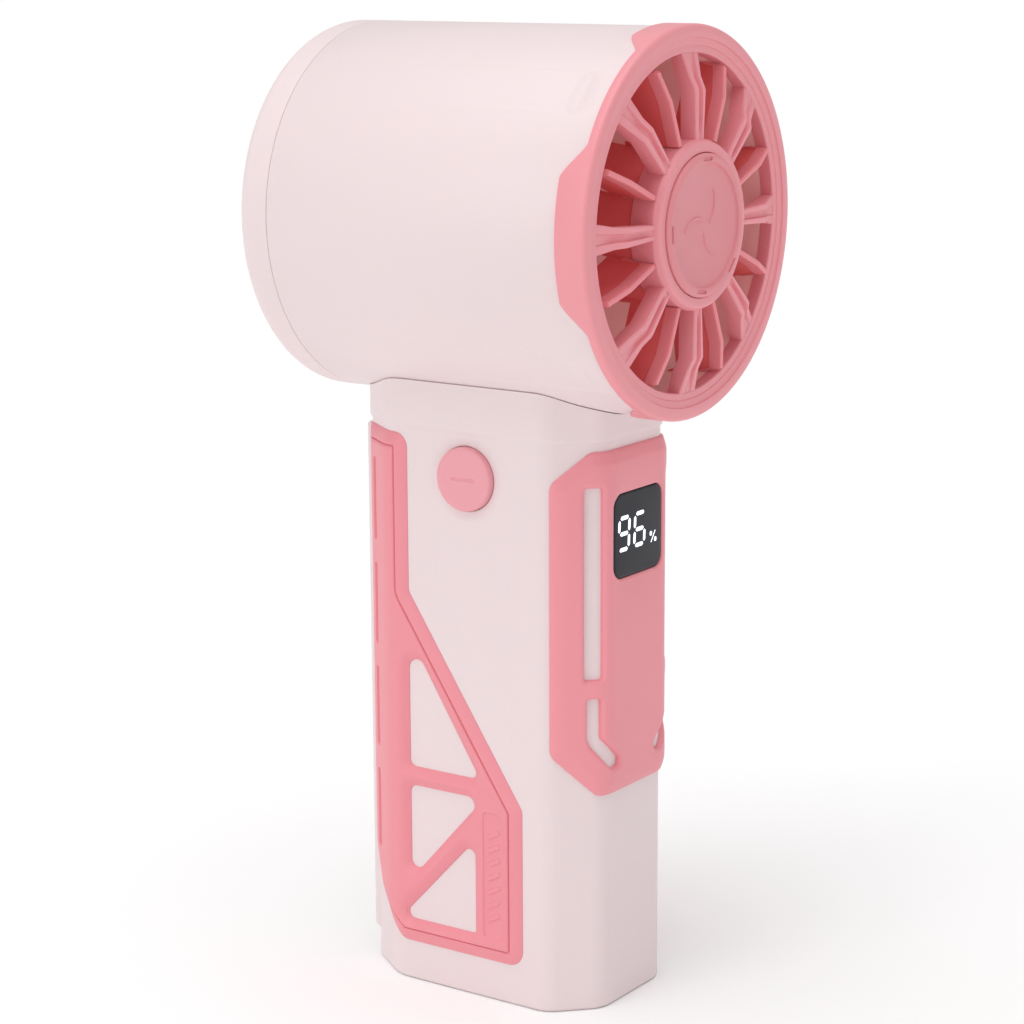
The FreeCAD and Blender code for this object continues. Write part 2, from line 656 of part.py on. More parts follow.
def motor_core():
    """Stator laminations: a ring with nine T-shaped teeth."""
    body = new_body("core", in_head=True)
    long = "core_front - core_back"
    ring = sketch_on(body, "XY_Plane", "core_back")
    circle(ring, "bearing_tube_radius + 1.3")
    circle(ring, "bearing_tube_radius + 0.02")
    feature(body, "Pad", ring, long)
    tooth = sketch_on(body, "XY_Plane", "core_back")
    shoe = "core_radius - 0.8"
    polygon(tooth, [("bearing_tube_radius + 1", "-tooth_width / 2"), (shoe, "-tooth_width / 2"),
                    (shoe, -2.1),
                    ("core_radius - 0.35", -2.3), ("core_radius", 0), ("core_radius - 0.35", 2.3),
                    (shoe, 2.1), (shoe, "tooth_width / 2"), ("bearing_tube_radius + 1", "tooth_width / 2")])
    made = feature(body, "Pad", tooth, long)
    around(body, [made], "tooth_count")
    subpart(body, "motor_core")


def motor_windings():
    """One coil round each tooth."""
    body = new_body("windings", in_head=True)
    plan = sketch_on(body, "XY_Plane", "core_back - 1.1")
    rectangle(plan, "bearing_tube_radius + 1.6", -1.65, "core_radius - 1.0", 1.65)
    coil = feature(body, "Pad", plan, "core_front - core_back + 2.2")
    slot = sketch_on(body, "XY_Plane", "core_back - 0.1")
    rectangle(slot, "bearing_tube_radius + 1", "-tooth_width / 2 - 0.05",
              "core_radius", "tooth_width / 2 + 0.05")
    room = feature(body, "Pocket", slot, "core_front - core_back + 0.2", back=True)
    around(body, [coil, room], "tooth_count")
    subpart(body, "motor_windings")


def rotor():
    """Bell, magnet ring, shaft and impeller, which spin together."""
    bell = new_body("bell", in_head=True)
    plate = "bell_back + 1.2"
    turned(bell, [("shaft_radius", "bell_back - 1.2"), (3.2, "bell_back - 1.2"), (3.2, "bell_back"),
                  ("bell_radius", "bell_back"), ("bell_radius", "bell_front"), ("bell_inner", "bell_front"),
                  ("bell_inner", plate), ("shaft_radius", plate)])
    subpart(bell, "rotor_bell")
    magnet = new_body("magnet", in_head=True)
    turned(magnet, [("magnet_inner", "core_back - 0.5"), ("bell_inner", "core_back - 0.5"),
                    ("bell_inner", "core_front + 0.5"), ("magnet_inner", "core_front + 0.5")])
    subpart(magnet, "rotor_magnet")
    subpart(cylinder("shaft", "shaft_radius", "sleeve_front - web_thick + 3", y=3, z="head_height",
                     direction=Vector(0, -1, 0)), "motor_shaft")
    wheel = new_body("wheel", in_head=True)
    bore, boss, shell = "shaft_radius", "shaft_radius + 1.7", "impeller_hub - 1.4"
    turned(wheel, [(bore, "impeller_front + 0.6"), (boss, "impeller_front + 0.6"),
                   (boss, "impeller_back + 3.5"), (f"{shell} - 1.2", "impeller_back + 3.5"),
                   (shell, "impeller_back + 5"), (shell, "impeller_front"),
                   ("impeller_hub", "impeller_front"),
                   ("impeller_hub", "impeller_back + 4.5"), ("impeller_hub - 2", "impeller_back + 1"),
                   ("impeller_hub - 5.5", "impeller_back"), (0, "impeller_back"), (0, -3), (bore, -3)])
    root = blade_section(wheel, "impeller_hub - 0.5", 3.0, 5.5, -4.0)
    tip = blade_section(wheel, "impeller_radius + 1", 7.5, 3.6, -4.6)
    blade = wheel.newObject("PartDesign::AdditiveLoft", "blade")
    blade.Profile = root
    blade.Sections = [tip]
    doc.recompute()
    around(wheel, [blade], "blade_count")
    tips = sketch_on(wheel, "XY_Plane")
    circle(tips, "impeller_radius")
    circle(tips, "impeller_radius + 10")
    feature(wheel, "Pocket", tips, through=True, midplane=True)
    subpart(wheel, "impeller")


def blade_section(body, radius, half_sweep, front, back):
    """A slanted section of an impeller blade at a radius."""
    sketch = sketch_on(body, "YZ_Plane", radius)
    lead, thick = f"{half_sweep}", "blade_thick / 2"
    polygon(sketch, [(f"{lead} - {thick}", f"{front} + {thick}"),
                     (f"{lead} + {thick}", f"{front} - {thick}"),
                     (f"-{lead} + {thick}", f"{back} - {thick}"),
                     (f"-{lead} - {thick}", f"{back} + {thick}")])
    return sketch


# ---- handle ----------------------------------------------------------------------------------

def handle_shell():
    outer = prism("shell_outer", "0", "0", "head_height - 8")
    fillet(outer, lambda edge: edge.BoundBox.ZMax < 0.01, "base_round")
    collar = prism("shell_collar", "-collar_proud", "collar_foot", "head_height - 8")
    fillet(collar, lambda edge: edge.BoundBox.ZMax < value("collar_foot") + 0.01, "collar_proud * 0.95",
           "Chamfer")
    bore = prism("shell_bore", "handle_wall", "-1", "head_height")
    saddle = cylinder("saddle", "barrel_radius + seam_gap", 120, y=-60, z="head_height",
                      direction=Vector(0, 1, 0))
    holes = cylinder("button_holes", "button_radius + button_gap", 60, x=-30, y="button_back",
                     z="button_height", direction=Vector(1, 0, 0))
    window = block("display_window", "-(lens_half - 0.7)", "lens_half - 0.7", "-front_depth - 2",
                   "-front_depth + 5", "lens_bottom + 0.8", "lens_top - 0.8")
    skin = fuse("shell_skin", outer, collar)
    subpart(cut("shell_cut", skin, bore, saddle, holes, window), "handle_shell")


def base_cap():
    plate = prism("cap_plate", "handle_wall + 0.05", "0", "cap_thick")
    port = block("cap_port", -4.7, 4.7, -1.8, 1.8, -1, "cap_thick + 1")
    screws = [cylinder(f"cap_hole_{i}", 1.1, "cap_thick + 2", x=x, y=y, z=-1)
              for i, (x, y) in enumerate(BASE_SCREWS)]
    sinks = [cylinder(f"cap_sink_{i}", 1.9, 1.2, x=x, y=y, z=-0.01) for i, (x, y) in enumerate(BASE_SCREWS)]
    subpart(cut("base_cap_cut", plate, port, *screws, *sinks), "base_cap")


def base_screws():
    screws = []
    for i, (x, y) in enumerate(BASE_SCREWS):
        head = cylinder(f"base_head_{i}", 1.8, 1.0, x=x, y=y, z=0.15)
        socket = cylinder(f"base_socket_{i}", 0.75, 0.6, x=x, y=y, z=0.1)
        shank = cylinder(f"base_shank_{i}", 0.95, "cell_foot - 4", x=x, y=y, z=0.5)
        screws.append(cut(f"base_screw_{i}", fuse(f"base_pin_{i}", head, shank), socket))
    subpart(group("base_screw_set", *screws), "base_screws")


def shell_core():
    """The handle's plain outside, for cutting what lies over it."""
    return prism("shell_core", "0", "1", "head_height - 8")


def front_panel(core):
    skin = prism("panel_skin", "-skin", "panel_bottom - 2", "panel_top + 2")
    outline = new_body("panel_outline")
    sketch = sketch_on(outline, "XZ_Plane", "-panel_back")
    edge, shoulder, toe = "half_width + 2", "half_width - 4.8", "half_width - 5.7"
    polygon(sketch, [(f"-({edge})", "panel_top - 6.1"), (f"-({shoulder})", "panel_top"),
                     (shoulder, "panel_top"), (edge, "panel_top - 6.1"), (edge, "panel_bottom + 9.4"),
                     (toe, "panel_bottom"), (f"-({toe})", "panel_bottom"),
                     (f"-({edge})", "panel_bottom + 9.4")])
    feature(outline, "Pad", sketch, 15)
    fillet(outline, lambda e: e.BoundBox.YLength > 14 and abs(abs(e.BoundBox.XMin) - 11.3) < 1, 2.5)
    slots = new_body("panel_slots")
    cutter = sketch_on(slots, "XZ_Plane", 12)
    for side in (-1, 1):
        rectangle(cutter, f"{side} * 11.85", 60.0, f"{side} * 9.9", 93.6)
        polygon(cutter, [(f"{side} * 11.45", 56.8), (f"{side} * 11.45", 50.4), (f"{side} * 7.9", 43.9),
                         (f"{side} * 6.1", 44.9), (f"{side} * 9.7", 50.4), (f"{side} * 9.7", 56.8)])
    feature(slots, "Pad", cutter, 20)
    window = rounded_block("panel_window", 0.05, "front_depth - 5", 12)
    plate = common("panel_plate", skin, outline)
    subpart(cut("panel_cut", plate, core, slots, window), "front_panel")


def rounded_block(name, grow, start, length):
    """A block with the outline of the display lens, along -Y."""
    body = new_body(name)
    sketch = sketch_on(body, "XZ_Plane", start)
    rectangle(sketch, f"-lens_half - {grow}", f"lens_bottom - {grow}",
              f"lens_half + {grow}", f"lens_top + {grow}")
    feature(body, "Pad", sketch, length)
    fillet(body, lambda edge: edge.BoundBox.YLength > 0.5, f"lens_round + {grow}")
    return body


def side_outline(name, points, low_x, high_x):
    """An outline in the side view, as a prism on the -X side between two distances from the middle."""
    body = new_body(name)
    sketch = sketch_on(body, "YZ_Plane", f"-({low_x})")
    polygon(sketch, points)
    feature(body, "Pad", sketch, f"({high_x}) - ({low_x})", back=True)
    return body


def trim_points(inset):
    """The outline of a side trim, moved inwards."""
    lean = f"({inset}) * 0.53"
    return [("back_depth + 6", f"trim_top - ({inset})"),
            (f"trim_band + ({inset})", f"trim_top - ({inset})"),
            (f"trim_band + ({inset})", f"trim_kink + {lean} * 0.55"),
            (f"trim_toe + ({inset})", f"trim_toe_top - {lean} * 1.0"),
            (f"trim_toe + ({inset})", f"trim_bottom + ({inset})"),
            (f"15.3 - ({inset}) * 0.3", f"trim_bottom + ({inset})"), (23.8, f"15.2 + ({inset}) * 1.2"),
            ("back_depth + 6", f"27.5 + ({inset}) * 1.2")]


def corner_at(points_y, points_z):
    """Picks edges along X at places in the side view."""
    def test(edge):
        box = edge.BoundBox
        along = box.YLength < 0.05 and box.ZLength < 0.05
        return along and any(abs(box.YMin - value(y)) < 0.1 and abs(box.ZMin - value(z)) < 0.1
                             for y, z in zip(points_y, points_z))
    return test


def trim_prism(name, inset, radii):
    """The trim's outline as a prism, with its rounded corners."""
    points = trim_points(inset)
    body = side_outline(name, points, "spine_half + 0.1", "half_width + 5")
    for index, radius in radii:
        fillet(body, corner_at([points[index][0]], [points[index][1]]), radius)
    return body


def rear_slot(number):
    """A short slot in the border of the trim, on the rear bevel."""
    body = new_body(f"rear_slot_{number}")
    sketch = sketch_on(body, "XY_Plane", f"slot_pitch * {number} + slot_foot")
    polygon(sketch, [(-13.3, 20.6), (-14.3, 21.4), (-13.7, 22.2), (-12.7, 21.4)])
    feature(body, "Pad", sketch, "slot_long")
    return body


def trims(core):
    """The raised frame on the left side, with three windows, and its mirror image."""
    inner = trim_prism("trim_inner", "trim_border", ((1, 1.2), (4, 1.6), (5, 1.6), (6, 6)))
    outer = trim_prism("trim_outer", "0", ((1, 2.6), (3, 1.5), (4, 3), (5, 2.5), (6, 6)))
    face = common("trim_face", prism("trim_skin", "-skin", "1", "trim_top + 2"), inner)
    lip = common("trim_lip", prism("trim_lip_skin", "-(skin - trim_border_drop)", "1", "trim_top + 2"), outer)
    back = "trim_band + 0.5"
    windows = [side_window("window_top", [(back, 66), (back, 39.9), (-3.1, 39.9)], (2.2, 1.6, 1.4)),
               side_window("window_middle", [(back, 37.3), (back, 18.1), (-3.9, 37.3)], (1.6, 1.8, 1.9)),
               side_window("window_low", [(-1.55, 30.2), (16.2, 11.3), (-1.55, 11.3)], (1.6, 1.6, 0.8))]
    slots = [rear_slot(number) for number in range(4)]
    left = cut("trim_left_cut", fuse("trim_whole", face, lip), core, *windows, *slots)
    subpart(left, "trim_left")
    subpart(mirrored("trim_right_copy", left), "trim_right")


def side_window(name, points, radii):
    """A window through the side trim, with its rounded corners."""
    body = side_outline(name, points, "half_width", "half_width + 3")
    for (across, up), radius in zip(points, radii):
        fillet(body, corner_at([across], [up]), radius)
    return body


def spine_cover():
    body = new_body("spine")
    sketch = sketch_on(body, "YZ_Plane")
    outer = "back_depth + spine_proud"
    polygon(sketch, [("back_depth", "spine_bottom"), (outer, "spine_bottom + spine_proud"),
                     (outer, "trim_top - spine_proud"), ("back_depth", "trim_top")])
    feature(body, "Pad", sketch, "spine_half * 2", midplane=True)
    outer_face = value("back_depth") + 1
    fillet(body, lambda edge: edge.BoundBox.YMin > outer_face and edge.BoundBox.ZLength > 20, 0.8)
    subpart(body, "spine_cover")


# ---- controls, display and electronics -------------------------------------------------------

def push_button(label, side, bars):
    """A round button in the side wall, with its flange and stem."""
    body = new_body(label + "_cap")
    body.Placement = Placement(Vector(0, 0, 0), Rotation(Vector(0, 1, 0), 90 * side))
    bind(body, "Placement.Base.y", "button_back")
    bind(body, "Placement.Base.z", "button_height")
    top = "half_width + button_proud"
    inner_wall = "half_width - handle_wall"
    turned(body, [(0, f"{inner_wall} - 1.15"), (1.8, f"{inner_wall} - 1.15"),
                  (1.8, f"{inner_wall} - 0.8"),
                  ("button_radius + 1", f"{inner_wall} - 0.8"), ("button_radius + 1", f"{inner_wall} - 0.3"),
                  ("button_radius", f"{inner_wall} - 0.3"), ("button_radius", f"{top} - 0.4"),
                  ("button_radius - 0.4", top), (0, top)])
    for across, along in bars:
        mark = sketch_on(body, "XY_Plane", f"{top} - 0.2")
        rectangle(mark, -across, -along, across, along)
        feature(body, "Pocket", mark, 1, back=True)
    subpart(body, label)


def plunger(label, side):
    subpart(cylinder(label + "_pin", 1.0, 1.4, x=f"{side} * (half_width - handle_wall - 2.6)",
                     y="button_back", z="button_height", direction=Vector(side, 0, 0)), label)


def side_switches():
    """Two switch bodies on the edges of the main board, each with room for its plunger."""
    bodies = []
    for side, name in ((-1, "left"), (1, "right")):
        low, high = sorted((8.6 * side, 12.6 * side))
        body = block(f"switch_{name}", low, high, "-board_face", "board_face", "button_height - 3.2",
                     "button_height + 3.2")
        room = cylinder(f"switch_room_{name}", 1.2, 2, x=11.2 * side, y="button_back", z="button_height",
                        direction=Vector(side, 0, 0))
        bodies.append(cut(f"switch_cut_{name}", body, room))
    subpart(group("switch_pair", *bodies), "side_switches")


def boards():
    board = block("main_pcb", -11.8, 11.8, "board_face", "board_face + board_thick",
                  "board_foot", "board_top")
    subpart(board, "main_board")
    chips = [(-4, 4, 86, 92, 1.1), (-7.5, -3.5, 97.5, 101.5, 2.4), (-1.5, 2.5, 97.5, 101.5, 1.0),
             (4.6, 7.4, 97.2, 101.6, 1.2), (-10.8, -7.2, 81.5, 86.5, 1.2), (6.6, 10.4, 81.5, 86.5, 1.2)]
    parts = [block(f"chip_{i}", left, right, f"board_face - {tall}", "board_face", low, high)
             for i, (left, right, low, high, tall) in enumerate(chips)]
    socket = block("lead_socket", -3.5, 3.5, -2.6, "board_face", 80.2, 84.8)
    subpart(group("board_part_set", socket, *parts), "board_parts")
    subpart(block("display_pcb", -8, 8, -20.4, -19.2, 78.3, 96), "display_board")
    subpart(block("display_led", "-(lens_half - 0.9)", "lens_half - 0.9", "-front_depth", -20.4,
                  "lens_bottom + 1", "lens_top - 1"), "display_module")
    subpart(block("usb_pcb", -8.2, 8.2, 1.75, 2.95, 2.8, 8.4), "usb_board")
    steel = cut("usb_steel", block("usb_outer", -4.5, 4.5, -1.65, 1.65, 0.4, 7.6),
                block("usb_inner", -4.2, 4.2, -1.35, 1.35, 0, 7.2))
    tongue = block("usb_tongue", -3.4, 3.4, -0.35, 0.35, 1.2, 7.4)
    subpart(fuse("usb_whole", steel, tongue), "usb_socket")


def display():
    """Smoked lens with the lit segments let into its face."""
    face = "front_depth + skin - lens_sunk"
    lens = rounded_block("lens", 0.0, f"{face} - lens_thick", "lens_thick")
    digits = new_body("digits")
    sketch = sketch_on(digits, "XZ_Plane", f"{face} - 0.3")
    for left, lit in (("digit_left", "abcdfg"), ("digit_left + digit_pitch", "acdefg")):
        for segment in lit:
            polygon(sketch, segment_points(segment, value(left)))
    sign, low = value("digit_left + 2 * digit_pitch + 0.05"), value("digit_foot - 0.4")
    for across, up in ((0, 1.2), (1.45, 0)):
        rectangle(sketch, sign + across, low + up, sign + across + 0.75, low + up + 0.8)
    polygon(sketch, [(sign + 0.2, low), (sign + 0.6, low), (sign + 2.0, low + 2), (sign + 1.6, low + 2)])
    feature(digits, "Pad", sketch, 0.3)
    subpart(cut("lens_cut", lens, digits), "display_lens")
    subpart(digits, "display_digits")


def segment_points(segment, left):
    """One bar of a seven-segment digit, leaning a little to the right."""
    wide, tall = value("digit_wide"), value("digit_tall")
    gap, low, e = 0.12, value("digit_foot"), value("digit_bar / 2")
    half = tall / 2
    upright = {"b": (wide, half), "c": (wide, 0), "e": (0, 0), "f": (0, half)}
    lying = {"a": tall, "g": half, "d": 0}
    if segment in lying:
        up = low + lying[segment]
        corners = [(gap, up), (e + gap, up - e), (wide - e - gap, up - e), (wide - gap, up),
                   (wide - e - gap, up + e), (e + gap, up + e)]
    else:
        across, start = upright[segment]
        up = low + start
        corners = [(across, up + gap), (across + e, up + e + gap), (across + e, up + half - e - gap),
                   (across, up + half - gap), (across - e, up + half - e - gap), (across - e, up + e + gap)]
    return [(round(left + x + (z - low) * 0.057, 3), round(z, 3)) for x, z in corners]


def battery():
    cells, caps = [], []
    for i, side in enumerate((-1, 1)):
        y = f"{side} * cell_spacing / 2"
        can = cylinder(f"cell_can_{i}", "cell_radius", "cell_length - 1", y=y, z="cell_foot")
        pole = cylinder(f"cell_pole_{i}", 3.0, 1.2, y=y, z="cell_foot + cell_length - 1.2")
        cells.append(fuse(f"cell_{i}", can, pole))
        caps.append(block(f"tab_top_{i}", -3.5, 3.5, f"{y} - 5", f"{y} + 5", "cell_foot + cell_length",
                          "cell_foot + cell_length + 0.2"))
    link = block("tab_bottom", -3.5, 3.5, "-cell_spacing / 2 - 5", "cell_spacing / 2 + 5",
                 "cell_foot - 0.2", "cell_foot")
    subpart(group("cell_pair", *cells), "battery_cells")
    subpart(group("tab_set", link, *caps), "battery_tabs")
    floor = prism("carrier_floor", "handle_wall + spigot_gap", "cell_foot - 2.2", "cell_foot - 0.3")
    lid = prism("carrier_lid", "handle_wall + spigot_gap", "cell_foot + cell_length + 0.5",
                "cell_foot + cell_length + 2")
    rails = [block(f"rail_{i}", low, high, -4, 4, "cell_foot - 1", "cell_foot + cell_length + 1")
             for i, (low, high) in enumerate(((-14.4, -12.6), (12.6, 14.4)))]
    posts = [cylinder(f"post_{i}", 2.3, "cell_foot - cap_thick - 1.1", x=x, y=y, z="cap_thick + 0.1")
             for i, (x, y) in enumerate(BASE_SCREWS)]
    taps = [cylinder(f"post_tap_{i}", 1.0, "cell_foot - 3.4", x=x, y=y, z="cap_thick")
            for i, (x, y) in enumerate(BASE_SCREWS)]
    ways = [block("usb_way", 9.5, 12.5, -1, 4.8, 5, 90), block("lead_way", -6, 6, 7.5, 12.5, 76, 79)]
    frame = fuse("carrier_frame", floor, lid, *rails, *posts)
    subpart(cut("carrier_cut", frame, *taps, *ways), "battery_carrier")


def lead(name, points, radius):
    """A wire along straight runs joined by tangent arcs, each as large as its two runs allow."""
    corners = [Vector(*point) for point in points]
    runs = [(b - a).Length for a, b in zip(corners, corners[1:])]
    edges, start, bends = [], corners[0], []
    for i in range(1, len(corners) - 1):
        before = (corners[i] - corners[i - 1]).normalize()
        after = (corners[i + 1] - corners[i]).normalize()
        half_turn = before.getAngle(after) / 2
        back = 0.45 * min(runs[i - 1], runs[i])
        into, out = corners[i] - before * back, corners[i] + after * back
        middle = corners[i] + (after - before).normalize() * (back * math.tan(half_turn / 2))
        edges.append(Part.LineSegment(start, into).toShape())
        edges.append(Part.Arc(into, middle, out).toShape())
        bends.append(round(back / math.tan(half_turn), 1))
        start = out
    edges.append(Part.LineSegment(start, corners[-1]).toShape())
    path = Part.Wire(edges)
    ring = Part.Wire(Part.makeCircle(radius, corners[0], corners[1] - corners[0]))
    tube = path.makePipeShell([ring], True, True)
    print(name, "bend radii", bends, "volume ratio",
          round(tube.Volume / (path.Length * math.pi * radius ** 2), 3))
    return own_shape(name, tube)


def leads():
    mid = value("head_height")
    exit_y = -value("lead_exit")
    drop_y = -value("wire_drop")
    hub = value("flange_radius")
    subpart(lead("motor_lead", [(0, exit_y, mid - hub - 0.4), (0, exit_y, mid - hub - 7.5),
                                (0, drop_y, mid - hub - 15.5), (0, drop_y, mid - hub - 27),
                                (0, -0.9, mid - hub - 37), (0, -0.9, 84.85)], 1.1), "motor_leads")
    top = value("cell_foot + cell_length") + 0.3
    behind = value("board_face + board_thick") + 0.05
    pair = [lead(f"battery_lead_{i}", [(x, 9.6, top), (x, 9.6, top + 6), (x, behind, top + 6)], 0.7)
            for i, x in enumerate((-3, 3))]
    subpart(group("battery_lead_pair", *pair), "battery_leads")
    route = [(7.4, 0.6, 5.5), (11, 0.6, 5.5), (11, 0.6, 20), (11, 3, 45), (11, 3, 78.9)]
    subpart(lead("usb_lead", route, 0.9), "usb_leads")


def check_and_write():
    """Stop on any failed object, then write each sub-part's solids."""
    doc.recompute()
    failed = [f"{obj.Name}: {obj.State}" for obj in doc.Objects
              if "Invalid" in obj.State or "Error" in obj.State]
    if failed:
        raise SystemExit("\n".join(failed))
    os.makedirs("parts", exist_ok=True)
    for obj in SUBPARTS:
        shape = obj.Shape
        if shape.isNull() or not shape.isValid() or not shape.Solids:
            raise SystemExit(f"{obj.Label} has no valid shape")
        shape.exportStep(f"parts/{obj.Label}.step")
        print(f"{obj.Label:18} solids {len(shape.Solids):2}  volume {shape.Volume:10.1f}")


head_barrel()
duct_liner()
rear_cover()
intake_grille()
front_grille()
hub_badge()
stator_vanes()
motor_base()
motor_screws()
bearing("bearing_front", "sleeve_front - web_thick - bearing_length")
bearing("bearing_rear", "tube_back")
motor_core()
motor_windings()
rotor()
handle_shell()
base_cap()
base_screws()
shell = shell_core()
front_panel(shell)
trims(shell)
spine_cover()
push_button("minus_button", -1, [(0.45, 2.6)])
push_button("plus_button", 1, [(0.45, 2.6), (2.6, 0.45)])
plunger("minus_plunger", -1)
plunger("plus_plunger", 1)
side_switches()
boards()
display()
battery()
leads()
check_and_write()
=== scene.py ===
"""Looks of the handheld turbo fan, built round its CAD frame.

Lengths are in millimetres until a mesh is made. "out" is the distance in front of the middle of the head,
along the duct's axis. Skins are flat outlines laid on a surface: the handle's section unrolled, the barrel
unrolled, or a plane.
"""
import json
import math

import bmesh
import bpy
import numpy as np
from mathutils import Matrix, Vector
from mathutils.geometry import delaunay_2d_cdt


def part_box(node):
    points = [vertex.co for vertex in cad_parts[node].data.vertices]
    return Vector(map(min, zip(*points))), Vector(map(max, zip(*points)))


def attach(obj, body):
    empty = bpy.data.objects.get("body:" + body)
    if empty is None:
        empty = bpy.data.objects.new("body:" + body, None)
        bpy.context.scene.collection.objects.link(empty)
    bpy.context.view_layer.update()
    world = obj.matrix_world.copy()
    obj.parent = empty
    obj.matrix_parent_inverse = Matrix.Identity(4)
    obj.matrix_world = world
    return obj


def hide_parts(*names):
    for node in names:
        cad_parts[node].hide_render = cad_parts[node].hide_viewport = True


MM = 0.001
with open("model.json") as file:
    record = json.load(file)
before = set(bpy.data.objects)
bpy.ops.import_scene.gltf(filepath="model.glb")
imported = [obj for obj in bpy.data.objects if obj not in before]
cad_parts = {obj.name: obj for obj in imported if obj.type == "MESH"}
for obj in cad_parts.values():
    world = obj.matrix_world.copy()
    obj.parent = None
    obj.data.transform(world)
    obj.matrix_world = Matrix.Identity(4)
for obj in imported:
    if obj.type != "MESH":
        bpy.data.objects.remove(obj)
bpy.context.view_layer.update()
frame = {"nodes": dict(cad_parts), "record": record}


def corners_of(node):
    """Lowest and highest corner of a CAD node, in millimetres."""
    low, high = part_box(node)
    return low / MM, high / MM


# ---- places read from the frame --------------------------------------------------------------

SHAFT_LOW, SHAFT_HIGH = corners_of("motor_shaft")
AXIS_Z = (SHAFT_LOW.z + SHAFT_HIGH.z) / 2
BARREL = corners_of("head_barrel")[1].x
SEAM = corners_of("head_barrel")[1].y
REAR = corners_of("rear_cover")[1].y
BARREL_FRONT = -corners_of("head_barrel")[0].y
BEZEL = corners_of("front_grille")[1].x
HUB_FRONT = -corners_of("front_grille")[0].y
BEZEL_FRONT = HUB_FRONT - 2.0
BADGE_FRONT = -corners_of("hub_badge")[0].y
SLEEVE_BACK = -corners_of("stator_vanes")[1].y
VANE_FRONT = -corners_of("stator_vanes")[0].y
LINER_BACK = corners_of("duct_liner")[1].y
LINER = corners_of("duct_liner")[1].x
COLLAR = 0.4
HALF_WIDTH = corners_of("handle_shell")[1].x - COLLAR
BACK = corners_of("spine_cover")[0].y
FRONT = -corners_of("handle_shell")[0].y - COLLAR
SPINE_LOW, SPINE_HIGH = corners_of("spine_cover")
LENS_LOW, LENS_HIGH = corners_of("display_lens")
BUTTON_LOW, BUTTON_HIGH = corners_of("minus_button")
BUTTON_Y = (BUTTON_LOW.y + BUTTON_HIGH.y) / 2
BUTTON_Z = (BUTTON_LOW.z + BUTTON_HIGH.z) / 2
TRIM_LOW, TRIM_HIGH = corners_of("trim_left")
PANEL_LOW, PANEL_HIGH = corners_of("front_panel")

MOUTH = 28.1
HUB = 14.2
HUB_BORE = 12.02
BADGE = 11.9
SKIN = 1.1
WALL = 1.8
SEAM_GAP = 0.2
SKIN_FOOT = -0.12
BARREL_BORE = BARREL - 2.05
COLLAR_FOOT = 101.5
BASE_ROUND = 0.8
BUTTON = 5.6
SPOKES = 8
HALF_STEP = math.pi / SPOKES
RIB_LONG = 2.52
# How far behind the fins' front edge the deep red painted shade reaches; behind it the fins carry painted
# light.
SHADE_PAINTED_LONG = 9.0
VANE_LONG = 21.0


# ---- outlines --------------------------------------------------------------------------------

def rounded(corners, radii, step=10.0, closed=True):
    """Points of an outline whose corners are rounded, with an arc point every few degrees."""
    points = []
    count = len(corners)
    for i, (corner, radius) in enumerate(zip(corners, radii)):
        here = np.array(corner, float)
        if not closed and i in (0, count - 1):
            points.append(here)
            continue
        back = np.array(corners[i - 1], float) - here
        ahead = np.array(corners[(i + 1) % count], float) - here
        back_long, ahead_long = np.linalg.norm(back), np.linalg.norm(ahead)
        back, ahead = back / back_long, ahead / ahead_long
        turn = math.pi - math.acos(max(-1.0, min(1.0, float(back @ ahead))))
        if radius < 0.005 or turn < 0.01:
            points.append(here)
            continue
        reach = min(radius * math.tan(turn / 2), back_long * 0.49, ahead_long * 0.49)
        radius = reach / math.tan(turn / 2)
        inward = (back + ahead) / np.linalg.norm(back + ahead)
        centre = here + inward * math.hypot(radius, reach)
        start = here + back * reach - centre
        steps = max(2, math.ceil(math.degrees(turn) / step))
        way = 1.0 if back[0] * ahead[1] - back[1] * ahead[0] < 0 else -1.0
        for k in range(steps + 1):
            angle = way * turn * k / steps
            c, s = math.cos(angle), math.sin(angle)
            points.append(centre + (start[0] * c - start[1] * s, start[0] * s + start[1] * c))
    return np.array(points)


def finer(loop, longest):
    """A closed loop with its long edges divided."""
    points = []
    for a, b in zip(loop, np.roll(loop, -1, axis=0)):
        parts = max(1, math.ceil(np.linalg.norm(b - a) / longest))
        points += [a + (b - a) * k / parts for k in range(parts)]
    return np.array(points)


